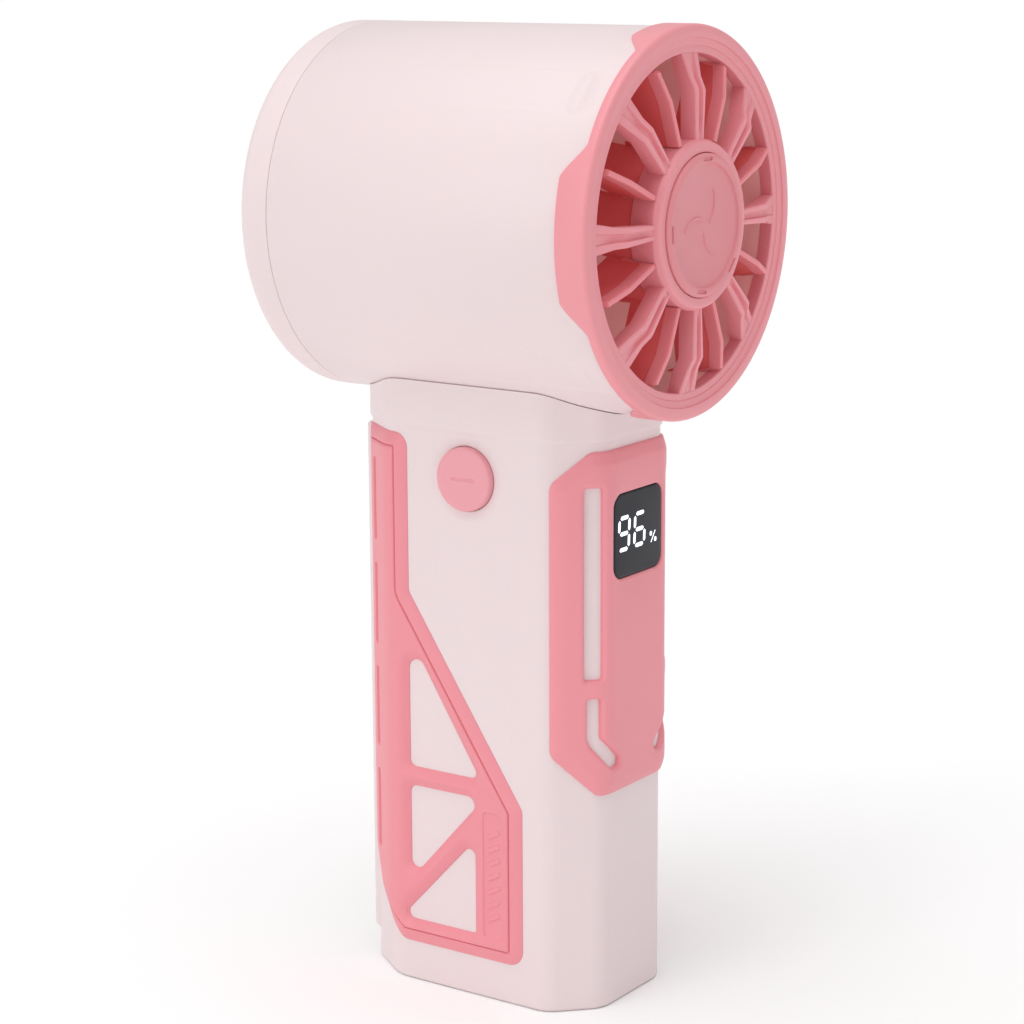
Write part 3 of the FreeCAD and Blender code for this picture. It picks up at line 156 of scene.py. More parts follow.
class Outline:
    """A closed outline with rounded corners, its offsets, and how deep inside it a point is."""

    def __init__(self, corners, radii, longest=1.2):
        corners = [tuple(map(float, corner)) for corner in corners]
        radii = list(radii) if hasattr(radii, "__len__") else [radii] * len(corners)
        xs, ys = np.array(corners).T
        if (xs * np.roll(ys, -1) - ys * np.roll(xs, -1)).sum() < 0:
            corners, radii = corners[::-1], radii[::-1]
        self.corners, self.radii, self.longest = np.array(corners), radii, longest

    def loop(self, inset=0.0):
        """The outline moved inward, with arc points at its corners."""
        moved, radii = [], []
        count = len(self.corners)
        for i, here in enumerate(self.corners):
            before = here - self.corners[i - 1]
            after = self.corners[(i + 1) % count] - here
            before, after = before / np.linalg.norm(before), after / np.linalg.norm(after)
            inner_a, inner_b = np.array((-before[1], before[0])), np.array((-after[1], after[0]))
            moved.append(here + (inner_a + inner_b) * inset / (1 + inner_a @ inner_b))
            bulges = before[0] * after[1] - before[1] * after[0] > 0
            radii.append(max(0.0, self.radii[i] + (-inset if bulges else inset)))
        return finer(rounded(moved, radii), self.longest)

    def depth(self, points):
        """Distance to the outline, positive inside."""
        loop = self.loop()
        after = np.roll(loop, -1, axis=0)
        nearest = np.full(len(points), 1e9)
        inside = np.zeros(len(points), bool)
        for a, b in zip(loop, after):
            edge = b - a
            share = np.clip((points - a) @ edge / (edge @ edge), 0, 1)
            nearest = np.minimum(nearest, np.linalg.norm(points - a - share[:, None] * edge, axis=1))
            crosses = (a[1] > points[:, 1]) != (b[1] > points[:, 1])
            if a[1] != b[1]:
                across = a[0] + (points[:, 1] - a[1]) * edge[0] / edge[1]
                inside ^= crosses & (points[:, 0] < across)
        return np.where(inside, nearest, -nearest)


class Disc:
    """A round outline with the same two methods."""

    def __init__(self, across, up, radius, steps=72):
        self.centre, self.radius, self.steps = np.array((across, up), float), radius, steps

    def loop(self, inset=0.0):
        turns = np.arange(self.steps) * math.tau / self.steps
        return self.centre + (self.radius - inset) * np.stack((np.cos(turns), np.sin(turns)), 1)

    def depth(self, points):
        return self.radius - np.linalg.norm(points - self.centre, axis=1)


def steps(profile, depth):
    """Height at each depth, from pairs of depth and height."""
    return np.interp(depth, [d for d, h in profile], [h for d, h in profile])


# ---- meshes ----------------------------------------------------------------------------------

def piece(name, parts, material, stands_for=(), body="casing", crease=32):
    """One object from (points, faces) parts, riding on a body."""
    points, faces, start = [], [], 0
    for part_points, part_faces in parts:
        points.append(np.asarray(part_points, float))
        faces += [tuple(int(i) + start for i in face) for face in part_faces]
        start += len(part_points)
    mesh = bpy.data.meshes.new(name)
    mesh.from_pydata((np.concatenate(points) * MM).tolist(), [], faces)
    tidy = bmesh.new()
    tidy.from_mesh(mesh)
    bmesh.ops.remove_doubles(tidy, verts=tidy.verts, dist=2e-6)
    bmesh.ops.recalc_face_normals(tidy, faces=tidy.faces)
    tidy.to_mesh(mesh)
    tidy.free()
    mesh.shade_smooth()
    mesh.set_sharp_from_angle(angle=math.radians(crease))
    mesh.materials.append(material)
    made = bpy.data.objects.new(name, mesh)
    bpy.context.scene.collection.objects.link(made)
    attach(made, body)
    if stands_for:
        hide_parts(*stands_for)
    return made


def skin(place, loops, keep, height, foot, lines=(), around=None):
    """A closed skin: outlines in a flat plane, raised to a height and laid on a surface.

    Where the plane wraps onto itself after the length around, the two ends join with no wall between them.
    """
    points, edges = [], []
    for loop in loops:
        first = len(points)
        points += [Vector(p) for p in loop]
        edges += [(first + i, first + (i + 1) % len(loop)) for i in range(len(loop))]
    for line in lines:
        first = len(points)
        points += [Vector(p) for p in line]
        edges += [(first + i, first + i + 1) for i in range(len(line) - 1)]
    flat, _, faces, _, _, _ = delaunay_2d_cdt(points, edges, [], 0, 1e-4)
    flat = np.array([tuple(p) for p in flat])
    faces = np.array(faces)
    faces = faces[keep(flat[faces].mean(axis=1))]
    used, faces = np.unique(faces, return_inverse=True)
    faces = faces.reshape(-1, 3)
    flat = flat[used]
    count = len(flat)
    top = place(flat, height(flat))
    under = place(flat, np.full(count, foot))
    sides = {}
    for face in faces:
        for a, b in zip(face, np.roll(face, -1)):
            if (b, a) in sides:
                del sides[b, a]
            else:
                sides[a, b] = True
    joined = np.zeros(count, bool)
    if around:
        joined = (flat[:, 0] < 0.001) | (flat[:, 0] > around - 0.001)
    walls = [(b, a, a + count, b + count) for a, b in sides if not (joined[a] and joined[b])]
    return np.concatenate((top, under)), faces.tolist() + (faces[:, ::-1] + count).tolist() + walls


def lathe(profile, segments=240):
    """A closed profile of (radius, out) points turned about the duct's axis."""
    turns = np.arange(segments) * math.tau / segments
    radius, out = np.asarray(profile, float).T
    ring = np.stack((np.outer(np.cos(turns), radius), np.tile(-out, (segments, 1)),
                     AXIS_Z + np.outer(np.sin(turns), radius)), axis=2)
    return ring.reshape(-1, 3), tube_faces(segments, len(profile), True, True)


def tube_faces(rows, columns, wrap_rows, wrap_columns):
    """Quads over a grid of points, row by row."""
    faces = []
    for i in range(rows if wrap_rows else rows - 1):
        for j in range(columns if wrap_columns else columns - 1):
            k, n = (i + 1) % rows, (j + 1) % columns
            faces.append((i * columns + j, i * columns + n, k * columns + n, k * columns + j))
    return faces


def loft(rings):
    """Rings of points joined one to the next, with both ends closed."""
    rows, columns = len(rings), len(rings[0])
    faces = tube_faces(rows, columns, False, True)
    faces += [tuple(range(columns)), tuple(range((rows - 1) * columns, rows * columns))]
    return np.concatenate(rings), faces


def turned(part, angle):
    """A part turned about the duct's axis."""
    points, faces = part
    c, s = math.cos(angle), math.sin(angle)
    x, up = points[:, 0], points[:, 2] - AXIS_Z
    return np.stack((x * c - up * s, points[:, 1], AXIS_Z + x * s + up * c), 1), faces


def mirrored(part):
    """The same part on the other side of the object."""
    points, faces = part
    return points * (-1, 1, 1), [tuple(face)[::-1] for face in faces]


# ---- surfaces --------------------------------------------------------------------------------

class Section:
    """The handle's section, unrolled from the middle of the back round by the left side."""

    def __init__(self):
        left = [(0, BACK), (-HALF_WIDTH + 6.4, BACK), (-HALF_WIDTH, BACK - 9.2), (-HALF_WIDTH, 7.4 - FRONT),
                (-HALF_WIDTH + 7.4, -FRONT)]
        corners = left + [(-x, y) for x, y in reversed(left)]
        radii = [0, 3, 8, 5.5, 5.5, 5.5, 5.5, 8, 3, 0]
        path = rounded(corners, radii, step=3, closed=False)
        step = np.diff(path, axis=0)
        long = np.linalg.norm(step, axis=1)
        across = np.stack((step[:, 1], -step[:, 0]), 1) / long[:, None]
        is_flat = long > 1.0
        normals = [across[0]]
        for i in range(1, len(path) - 1):
            mean = across[i - 1] + across[i]
            normals.append(across[i - 1] if is_flat[i - 1] else across[i] if is_flat[i] else mean)
        normals = np.array(normals + [across[-1]])
        self.u = np.concatenate(([0], np.cumsum(long)))
        self.points = path
        self.normals = normals / np.linalg.norm(normals, axis=1)[:, None]
        self.long = self.u[-1]

    def place(self, flat, height):
        """Points of the unrolled section, raised square to it."""
        u = flat[:, 0] % self.long if flat[:, 0].min() < 0 else flat[:, 0]
        across = [np.interp(u, self.u, self.points[:, k]) for k in (0, 1)]
        out = np.stack([np.interp(u, self.u, self.normals[:, k]) for k in (0, 1)], 1)
        out /= np.linalg.norm(out, axis=1)[:, None]
        return np.stack((across[0] + out[:, 0] * height, across[1] + out[:, 1] * height, flat[:, 1]), 1)

    def side(self, y):
        """Where a point of the left side, or of the bevels next to it, lies along the section."""
        stretch = self.points[:, 0] < 0
        return float(np.interp(-y, -self.points[stretch][1:, 1], self.u[stretch][1:]))

    def face(self, x):
        """Where a point of the front, or of its bevels, lies along the section."""
        stretch = self.points[:, 1] < 8 - FRONT
        return float(np.interp(x, self.points[stretch][:, 0], self.u[stretch]))

    def lines(self, low_u, high_u, low_z, high_z, pitch=2.5):
        """Upright lines at the curved stretches, so that skins bend there."""
        curved = np.abs(np.diff(self.normals, axis=0)).sum(axis=1) > 0.01
        stations = [u for i, u in enumerate(self.u) if curved[min(i, len(curved) - 1)] or curved[i - 1]]
        chosen = [u for u in stations if low_u < u < high_u]
        rows = max(2, round((high_z - low_z) / pitch))
        return [[(u, low_z + (high_z - low_z) * k / rows) for k in range(rows + 1)] for u in chosen]


section = Section()


def on_barrel(flat, height):
    """Along the barrel's round from its lowest line, and out along its axis."""
    angle = flat[:, 0] / BARREL
    radius = BARREL + height
    return np.stack((radius * np.sin(angle), -flat[:, 1], AXIS_Z - radius * np.cos(angle)), 1)


def on_head(flat, height):
    """A plane square to the duct's axis, centred on it."""
    return np.stack((flat[:, 0], -height, AXIS_Z + flat[:, 1]), 1)


def on_back(flat, height):
    """The plane of the handle's back."""
    return np.stack((flat[:, 0], BACK + height, flat[:, 1]), 1)


def on_left(flat, height):
    """The plane of the handle's left side, centred on the key."""
    return np.stack((-HALF_WIDTH - height, BUTTON_Y + flat[:, 0], BUTTON_Z + flat[:, 1]), 1)


# ---- materials -------------------------------------------------------------------------------

def material(name, colour, roughness, deeper=0.94, grain=0.35, bump=0.04, metallic=0.0, glow=0.0,
             subsurface=0.0, coat=0.0, shine=0.5):
    """Moulded plastic or metal: slow colour drift, uneven gloss and a fine moulded grain."""
    made = bpy.data.materials.new(name)
    made.use_nodes = True
    nodes, links = made.node_tree.nodes, made.node_tree.links
    shader = nodes["Principled BSDF"]
    shader.inputs["Metallic"].default_value = metallic
    shader.inputs["Specular IOR Level"].default_value = shine
    shader.inputs["Subsurface Weight"].default_value = subsurface
    shader.inputs["Subsurface Radius"].default_value = (0.002, 0.0012, 0.001)
    shader.inputs["Subsurface Scale"].default_value = 1.0
    shader.inputs["Coat Weight"].default_value = coat
    shader.inputs["Coat Roughness"].default_value = 0.08
    place = nodes.new("ShaderNodeTexCoord").outputs["Object"]

    def noise(scale, detail):
        cloud = nodes.new("ShaderNodeTexNoise")
        cloud.inputs["Scale"].default_value = scale
        cloud.inputs["Detail"].default_value = detail
        links.new(place, cloud.inputs["Vector"])
        return cloud.outputs["Fac"]

    blend = nodes.new("ShaderNodeMix")
    blend.data_type = "RGBA"
    blend.inputs["A"].default_value = (*colour, 1)
    blend.inputs["B"].default_value = (*[channel * deeper for channel in colour], 1)
    links.new(noise(45, 3), blend.inputs["Factor"])
    links.new(blend.outputs["Result"], shader.inputs["Base Color"])
    gloss = nodes.new("ShaderNodeMapRange")
    gloss.inputs["To Min"].default_value = roughness * 0.88
    gloss.inputs["To Max"].default_value = roughness * 1.12
    links.new(noise(160, 4), gloss.inputs["Value"])
    links.new(gloss.outputs["Result"], shader.inputs["Roughness"])
    relief = nodes.new("ShaderNodeBump")
    relief.inputs["Strength"].default_value = grain
    relief.inputs["Distance"].default_value = bump * MM
    links.new(noise(2600, 2), relief.inputs["Height"])
    links.new(relief.outputs["Normal"], shader.inputs["Normal"])
    # The glow is real light on the lit digits; on the duct it is painted light.
    if glow:
        shader.inputs["Emission Color"].default_value = (*colour, 1)
        shader.inputs["Emission Strength"].default_value = glow
    return made


PALE = material("pale_plastic", (0.835, 0.703, 0.711), 0.42, deeper=0.985, subsurface=0.05)
PINK = material("pink_plastic", (0.87, 0.29, 0.335), 0.42, deeper=0.97, subsurface=0.05)
# Painted light: the trims' pink made a little lighter for the panel, to brighten its bevels as if more light
# fell on them.
PINK_PANEL_PAINTED_LIGHT = material("pink_panel_painted_light", (0.89, 0.31, 0.355), 0.42, deeper=0.97, subsurface=0.05)
PINK_HEAD = material("pink_grille_plastic", (0.87, 0.32, 0.36), 0.42, deeper=0.97, subsurface=0.05)
PINK_BADGE = material("pink_badge_plastic", (0.79, 0.28, 0.315), 0.45, deeper=0.97, subsurface=0.05)
PINK_KEY = material("pink_key_plastic", (0.85, 0.36, 0.405), 0.45, deeper=0.98, subsurface=0.05)
# Deep red painted shade: the pink darkened and reddened to stand in for shade and red bounce light deep in
# the duct; used on the sleeve, the fins behind their ribs and the CAD nodes of the pink_duct slot.
PINK_PAINTED_SHADE = material("pink_painted_shade_plastic", (0.86, 0.17, 0.175), 0.5, deeper=0.97, shine=0.25)
PINK_RIB = material("pink_rib_plastic", (0.87, 0.27, 0.30), 0.45, deeper=0.97)
# Painted light: the duct's plastic made lighter and pinker than the shell, with a faint glow, to stand in for
# light and pink bounce light inside the duct; used on the liner and the fins' rear parts.
DUCT_PAINTED_LIGHT = material("duct_painted_light_plastic", (0.96, 0.60, 0.58), 0.5, deeper=0.97, glow=0.07)
SMOKED = material("smoked_lens", (0.022, 0.022, 0.030), 0.3, grain=0.05, shine=0.22)
LIT = material("lit_digits", (0.80, 0.84, 1.0), 0.5, glow=1.1, shine=0.1)
STEEL = material("ground_steel", (0.55, 0.55, 0.57), 0.3, metallic=1.0, grain=0.2)
ALLOY = material("turned_alloy", (0.66, 0.67, 0.69), 0.35, metallic=1.0, grain=0.3)
IRON = material("laminated_iron", (0.20, 0.20, 0.21), 0.55, metallic=0.8, grain=0.6)
COPPER = material("enamelled_copper", (0.62, 0.24, 0.10), 0.35, metallic=1.0, grain=0.7)
BOARD = material("solder_mask", (0.02, 0.13, 0.05), 0.35, coat=0.3)
BLACK = material("black_plastic", (0.02, 0.02, 0.02), 0.5)
WHITE = material("white_plastic", (0.75, 0.75, 0.75), 0.5)
WRAP = material("cell_wrap", (0.05, 0.14, 0.45), 0.3, coat=0.2)
NICKEL = material("nickel_plate", (0.62, 0.60, 0.56), 0.28, metallic=1.0, grain=0.2)
WIRE = material("wire_cover", (0.03, 0.03, 0.03), 0.55)
# The pink_duct slot takes the deep red painted shade.
BY_SLOT = {"pale_shell": PALE, "pink_trim": PINK, "pink_duct": PINK_PAINTED_SHADE, "smoked_lens": SMOKED,
           "lit_digits": LIT, "white_plastic": WHITE, "steel": STEEL, "motor_alloy": ALLOY,
           "laminations": IRON, "copper_wire": COPPER, "magnet": IRON, "circuit_board": BOARD,
           "black_parts": BLACK, "cell_wrap": WRAP, "nickel": NICKEL, "wire_cover": WIRE}


def finish_cad_nodes():
    """Give every CAD node its material, and smooth its round faces."""
    slots = {part["node"]: part["material_slot"] for part in frame["record"]["subparts"]}
    for name, node in frame["nodes"].items():
        node.data.materials.clear()
        node.data.materials.append(BY_SLOT[slots[name]])
        node.data.shade_smooth()
        node.data.set_sharp_from_angle(angle=math.radians(28))


# ---- head ------------------------------------------------------------------------------------

def head_barrel():
    """The barrel's skin, with shallow ovals behind the bezel."""
    around = math.tau * BARREL
    # The outline for the rims runs past the join, so that no edge is softened there.
    past = around + 1
    ends = Outline([(-1, -SEAM), (past, -SEAM), (past, BARREL_FRONT), (-1, BARREL_FRONT)], 0, 400)
    half, low, high = 4.6, 25.2, 28.6
    ovals = []
    for turn in (45, 135, 225, 315):
        left, right = turn / 360 * around - half, turn / 360 * around + half
        ovals.append(Outline([(left, low), (right, low), (right, high), (left, high)], 1.7, 0.8))
    relief = ((0, 0), (0.35, -0.14), (0.8, -0.10), (1.3, -0.06))
    edge = ((0, -0.22), (0.08, -0.08), (0.22, 0))
    border = np.array([(0, -SEAM), (around, -SEAM), (around, BARREL_FRONT), (0, BARREL_FRONT)])
    loops = [finer(border, 1.2)] + [oval.loop(inset) for oval in ovals for inset, _ in relief]
    lines = [[(around * k / 180, -SEAM), (around * k / 180, BARREL_FRONT)] for k in range(1, 180)]
    rows = [BARREL_FRONT - at for at, _ in edge[1:]] + [at - SEAM for at, _ in edge[1:]]
    lines += [[(0, row), (around, row)] for row in rows]

    def height(flat):
        raised = steps(edge, ends.depth(flat))
        for oval in ovals:
            raised = raised + steps(relief, oval.depth(flat))
        return raised

    part = skin(on_barrel, loops, lambda flat: np.ones(len(flat), bool), height, -2.0, lines, around)
    piece("barrel_skin", [part], PALE, ["head_barrel"])


def rear_cover():
    """The cap behind the seam: a rim that slips into the barrel, and a round edge about the inlet."""
    inside, inlet, rim_front = BARREL - 3.65, 25.5, 27.2
    floor, behind_seam = REAR - 2.2, -SEAM - 0.02
    profile = rounded([(BARREL_BORE, -rim_front), (BARREL_BORE, behind_seam), (BARREL, behind_seam),
                       (BARREL, -REAR), (inlet, -REAR), (inlet, -floor), (inside, -floor),
                       (inside, -rim_front)],
                      [0.1, 0.1, 0.16, 4.6, 0.4, 0.2, 0.5, 0.1], step=6)
    piece("rear_cap", [lathe(profile)], PALE, ["rear_cover"])


def intake_grille():
    """Bars and a ring with softened edges over the inlet."""
    outer, ring, inner, depth, wide = 25.4, 16.0, 6.5, 2.15, 1.3
    parts = [lathe(rounded([(0.01, -REAR + depth), (0.01, -REAR), (inner, -REAR), (inner, -REAR + depth)],
                           [0, 0, 0.35, 0.1]), 120)]
    for radius in (ring - wide / 2, outer - wide):
        parts.append(lathe(rounded([(radius, -REAR + depth), (radius, -REAR), (radius + wide, -REAR),
                                    (radius + wide, -REAR + depth)], [0.1, 0.4, 0.4, 0.1]), 160))
    for number in range(16):
        rings = []
        for radius in (inner - 0.3, outer - 0.6):
            edge = rounded([(-wide / 2, -REAR + depth), (-wide / 2, -REAR + 0.1), (wide / 2, -REAR + 0.1),
                            (wide / 2, -REAR + depth)], [0.05, 0.4, 0.4, 0.05])
            rings.append(np.stack((np.full(len(edge), radius), -edge[:, 1], AXIS_Z + edge[:, 0]), 1))
        parts.append(turned(loft(rings), number * math.tau / 16))
    piece("inlet_bars", parts, PALE, ["intake_grille"])


def bezel():
    """The ring round the grille, with four tapered tabs that run back over the barrel."""
    tip, root = math.asin(10.1 / BEZEL), math.asin(15.2 / BEZEL)
    root_out, tip_out = BARREL_FRONT + 0.1, BARREL_FRONT - 3.8
    segments = 720
    rings = []
    for k in range(segments):
        turn = math.tau * k / segments
        from_tab = abs((turn + math.pi / 4) % (math.pi / 2) - math.pi / 4)
        share = min(1.0, max(0.0, (root - from_tab) / (root - tip)))
        soft = share * share * (3 - 2 * share) * 0.35 + share * 0.65
        rear = root_out + (tip_out - root_out) * soft
        profile = np.concatenate((
            rounded([(MOUTH, BEZEL_FRONT - 3.1), (MOUTH, BEZEL_FRONT - 0.75), (29.3, BEZEL_FRONT - 0.75),
                     (29.4, BEZEL_FRONT - 0.54), (30.5, BEZEL_FRONT - 0.38), (30.6, BEZEL_FRONT - 0.06),
                     (31.5, BEZEL_FRONT), (BEZEL, BEZEL_FRONT - 0.2), (BEZEL, root_out)],
                    [0, 0.3, 0.05, 0.12, 0.05, 0.12, 0.5, 1.25, 0], closed=False)[:-1],
            [(BEZEL, rear + 0.2), (BEZEL - 0.06, rear + 0.06), (BEZEL - 0.2, rear), (BARREL + 0.01, rear),
             (BARREL + 0.01, root_out), (BARREL_BORE, root_out), (BARREL_BORE, BEZEL_FRONT - 3.1)]))
        rings.append(np.stack((profile[:, 0] * math.cos(turn), -profile[:, 1],
                               AXIS_Z + profile[:, 0] * math.sin(turn)), 1))
    return np.concatenate(rings), tube_faces(segments, len(rings[0]), True, True)


def wide_spoke():
    """A grooved spoke that widens to the bezel."""
    line = rounded([(HUB - 0.6, HUB_FRONT - 0.72), (22.2, HUB_FRONT - 0.65), (24.2, HUB_FRONT - 1.65),
                    (MOUTH + 0.5, HUB_FRONT - 2.95)], [0, 1.6, 1.8, 0], step=8, closed=False)
    straight = [line[0] + (line[1] - line[0]) * k / 8 for k in range(8)]
    line = np.concatenate((straight, line[1:]))
    rings = []
    for radius, out in line:
        half = np.interp(radius, [HUB, 19, 23, 26, MOUTH], [1.3, 1.55, 1.75, 2.0, 2.7])
        groove = half * 0.3
        sunk = 0.8 * np.interp(radius, [15.0, 16.0, 26.6, 27.8], [0.3, 1, 1, 0])
        depth = np.interp(radius, [HUB, 24, MOUTH], [3.1, 3.0, 2.4])
        across = [-half + 0.12, -half, -half + 0.08, -half + 0.32, -groove - 0.18, -groove, 0,
                  groove, groove + 0.18, half - 0.32, half - 0.08, half, half - 0.12]
        down = [depth, 0.55, 0.2, 0.0, 0.0, sunk * 0.85, sunk, sunk * 0.85, 0.0, 0.0, 0.2, 0.55, depth]
        rings.append(np.stack((np.full(13, radius), -(out - np.array(down)), AXIS_Z + np.array(across)), 1))
    return loft(rings)


def front_grille():
    """Bezel, hub and wide spokes in one."""
    hub = rounded([(0.01, HUB_FRONT - 1.9), (0.01, HUB_FRONT - 0.6), (HUB_BORE, HUB_FRONT - 0.6),
                   (HUB_BORE, HUB_FRONT), (HUB - 0.55, HUB_FRONT), (HUB, HUB_FRONT - 1.1),
                   (HUB - 0.1, HUB_FRONT - 5.4), (12.8, HUB_FRONT - 5.4), (12.8, HUB_FRONT - 1.9)],
                  [0, 0, 0.1, 0.12, 0.7, 0.8, 0.1, 0.1, 0.1], step=9)
    spoke = wide_spoke()
    parts = [bezel(), lathe(hub)] + [turned(spoke, k * math.tau / SPOKES) for k in range(SPOKES)]
    piece("grille", parts, PINK_HEAD, ["front_grille"])


def hub_badge():
    """The badge: a notched rim round a sunk dish with a plain three-armed mark."""
    rim = ((0, -0.52), (0.2, -0.3), (0.42, -0.06), (0.55, 0), (1.40, 0), (1.5, -0.06), (1.64, -0.46),
           (1.78, -0.54))
    disc = Disc(0, 0, BADGE, 180)
    notches = []
    for degrees in (90, 183, 262, 318):
        middle = math.radians(degrees)
        out = np.array((math.cos(middle), math.sin(middle)))
        along = np.array((-math.sin(middle), math.cos(middle)))
        corners = ((10.6, -1.5), (11.3, -1.5), (11.3, 1.5), (10.6, 1.5))
        notches.append(Outline([out * r + along * w for r, w in corners], 0.3, 0.6))
    arms, arm_from, arm_to = [], 1.3, 6.4
    for k in range(3):
        along = np.linspace(arm_from, arm_to, 9)
        turns = k * math.tau / 3 + 0.3 + 0.85 * (along - arm_from) / (arm_to - arm_from)
        half = np.interp(along, [arm_from, 4, arm_to], [0.28, 0.36, 0.28])
        edges = [[(r * math.cos(a) - s * w * math.sin(a), r * math.sin(a) + s * w * math.cos(a))
                  for r, a, w in zip(along, turns, half)] for s in (-1, 1)]
        arms.append(Outline(edges[0] + edges[1][::-1], 0.05, 0.6))
    cut, lift = ((0, 0), (0.1, -0.3)), ((0, 0), (0.12, 0.22))
    loops = [disc.loop(inset) for inset, _ in rim]
    loops += [notch.loop(inset) for notch in notches for inset, _ in cut]
    loops += [arm.loop(inset) for arm in arms for inset, _ in lift]

    def height(flat):
        raised = BADGE_FRONT + steps(rim, disc.depth(flat))
        for shapes, profile in ((notches, cut), (arms, lift)):
            for shape in shapes:
                raised = raised + steps(profile, shape.depth(flat))
        return raised

    part = skin(on_head, loops, lambda flat: disc.depth(flat) > 0, height, HUB_FRONT - 0.58)
    piece("badge", [part], PINK_BADGE, ["hub_badge"])


def vane(first, last):
    """One curved fin between two depths behind its front edge, with a thicker rib along the front."""
    lean, long = 4.5, VANE_LONG
    radii = np.concatenate(([13.5, 14.38], np.linspace(14.4, 22.3, 9), np.linspace(22.8, 27.4, 8),
                            np.linspace(27.5, 27.9, 4), [28.15, LINER - 2.05]))
    fronts = np.interp(radii, [13.5, 14.39, 14.4, 22.3, 27.4, 27.9, 28.15, LINER - 2.05],
                       [31.0, 31.0, VANE_FRONT, VANE_FRONT, VANE_FRONT - 1.2, 31.7, 31.0, 31.0])
    stations = np.array([0, 0.06, 0.18, 0.4, 0.8, 1.6, 2.4, RIB_LONG, 2.7, 3.4, 4.5, 6.0, 7.4, SHADE_PAINTED_LONG,
                         12.0, 15.0, 18.0, long])
    halves = np.interp(stations, [0, 0.06, 0.18, 0.4, 2.4, RIB_LONG, long],
                       [0.18, 0.34, 0.46, 0.5, 0.5, 0.36, 0.36])
    chosen = (stations >= first) & (stations <= last)
    rings = []
    for radius, front in zip(radii, fronts):
        outs = front + (VANE_FRONT - long - front) * stations[chosen] / long
        shift = -lean * ((VANE_FRONT - outs) / long) ** 2
        sides = np.concatenate((shift + halves[chosen], (shift - halves[chosen])[::-1]))
        depths = -np.concatenate((outs, outs[::-1]))
        rings.append(np.stack((np.full(len(sides), radius), depths, AXIS_Z + sides), 1))
    return loft(rings)


def stator_vanes():
    """Fins and a sleeve behind the spokes: pink ribs along the fins' fronts, a deep red painted shade on the
    sleeve and the fins' next stretch, and painted light (light pink and a faint glow) on the fins' rear
    parts.
    """
    sleeve = rounded([(3.3, 31.0), (13.7, 31.0), (13.7, SLEEVE_BACK), (12.5, SLEEVE_BACK), (12.5, 29.0),
                      (3.3, 29.0)], [0.1, 0.4, 0.3, 0.3, 0.2, 0.1])
    turns = [HALF_STEP + k * math.tau / SPOKES for k in range(SPOKES)]
    # One moulding in three colours: the ribs keep the pink, the next stretch and the sleeve carry painted
    # shade, the rear parts painted light.
    rib, front, rear = vane(0, RIB_LONG), vane(RIB_LONG, SHADE_PAINTED_LONG), vane(SHADE_PAINTED_LONG, VANE_LONG)
    piece("stator_ribs", [turned(rib, turn) for turn in turns], PINK_RIB, ["stator_vanes"])
    piece("stator", [lathe(sleeve)] + [turned(front, turn) for turn in turns], PINK_PAINTED_SHADE,
          ["stator_vanes"])
    piece("stator_rear", [turned(rear, turn) for turn in turns], DUCT_PAINTED_LIGHT, ["stator_vanes"])


def duct_liner():
    """The pale tube round the vanes; its light pink colour and faint glow are painted light."""
    profile = rounded([(LINER - 2, -LINER_BACK), (LINER, -LINER_BACK), (LINER, BEZEL_FRONT - 3.15),
                       (LINER - 2, BEZEL_FRONT - 3.15)], 4 * [0.2])
    piece("duct_wall", [lathe(profile)], DUCT_PAINTED_LIGHT, ["duct_liner"])


# ---- handle ----------------------------------------------------------------------------------

def shell_top(u):
    """Height at which the shell meets the barrel, less the gap."""
    across = np.abs(np.interp(u, section.u, section.points[:, 0])) + COLLAR
    reach = np.minimum(across, HALF_WIDTH + COLLAR)
    return AXIS_Z - np.sqrt((BARREL + SEAM_GAP) ** 2 - reach ** 2)


def flipped(outline):
    """The same outline on the other side of the handle."""
    return Outline([(section.long - u, z) for u, z in outline.corners], outline.radii, outline.longest)


def side_relief():
    """Shallow shapes let into the handle's side below the key."""
    side = section.side
    band = Outline([(side(7.4), 82.3), (side(5.5), 82.0), (side(-9.4), 55.5), (side(-9.4), 47.5),
                    (side(-8.0), 48.0), (side(7.4), 76.0)], [1.2, 1.2, 1.5, 1.0, 1.0, 1.5])
    wedge = Outline([(side(-2.0), 83.0), (side(-9.4), 84.6), (side(-9.4), 72.0), (side(-8.0), 72.4)],
                    [1.0, 1.3, 1.0, 0.8])
    return [band, wedge]


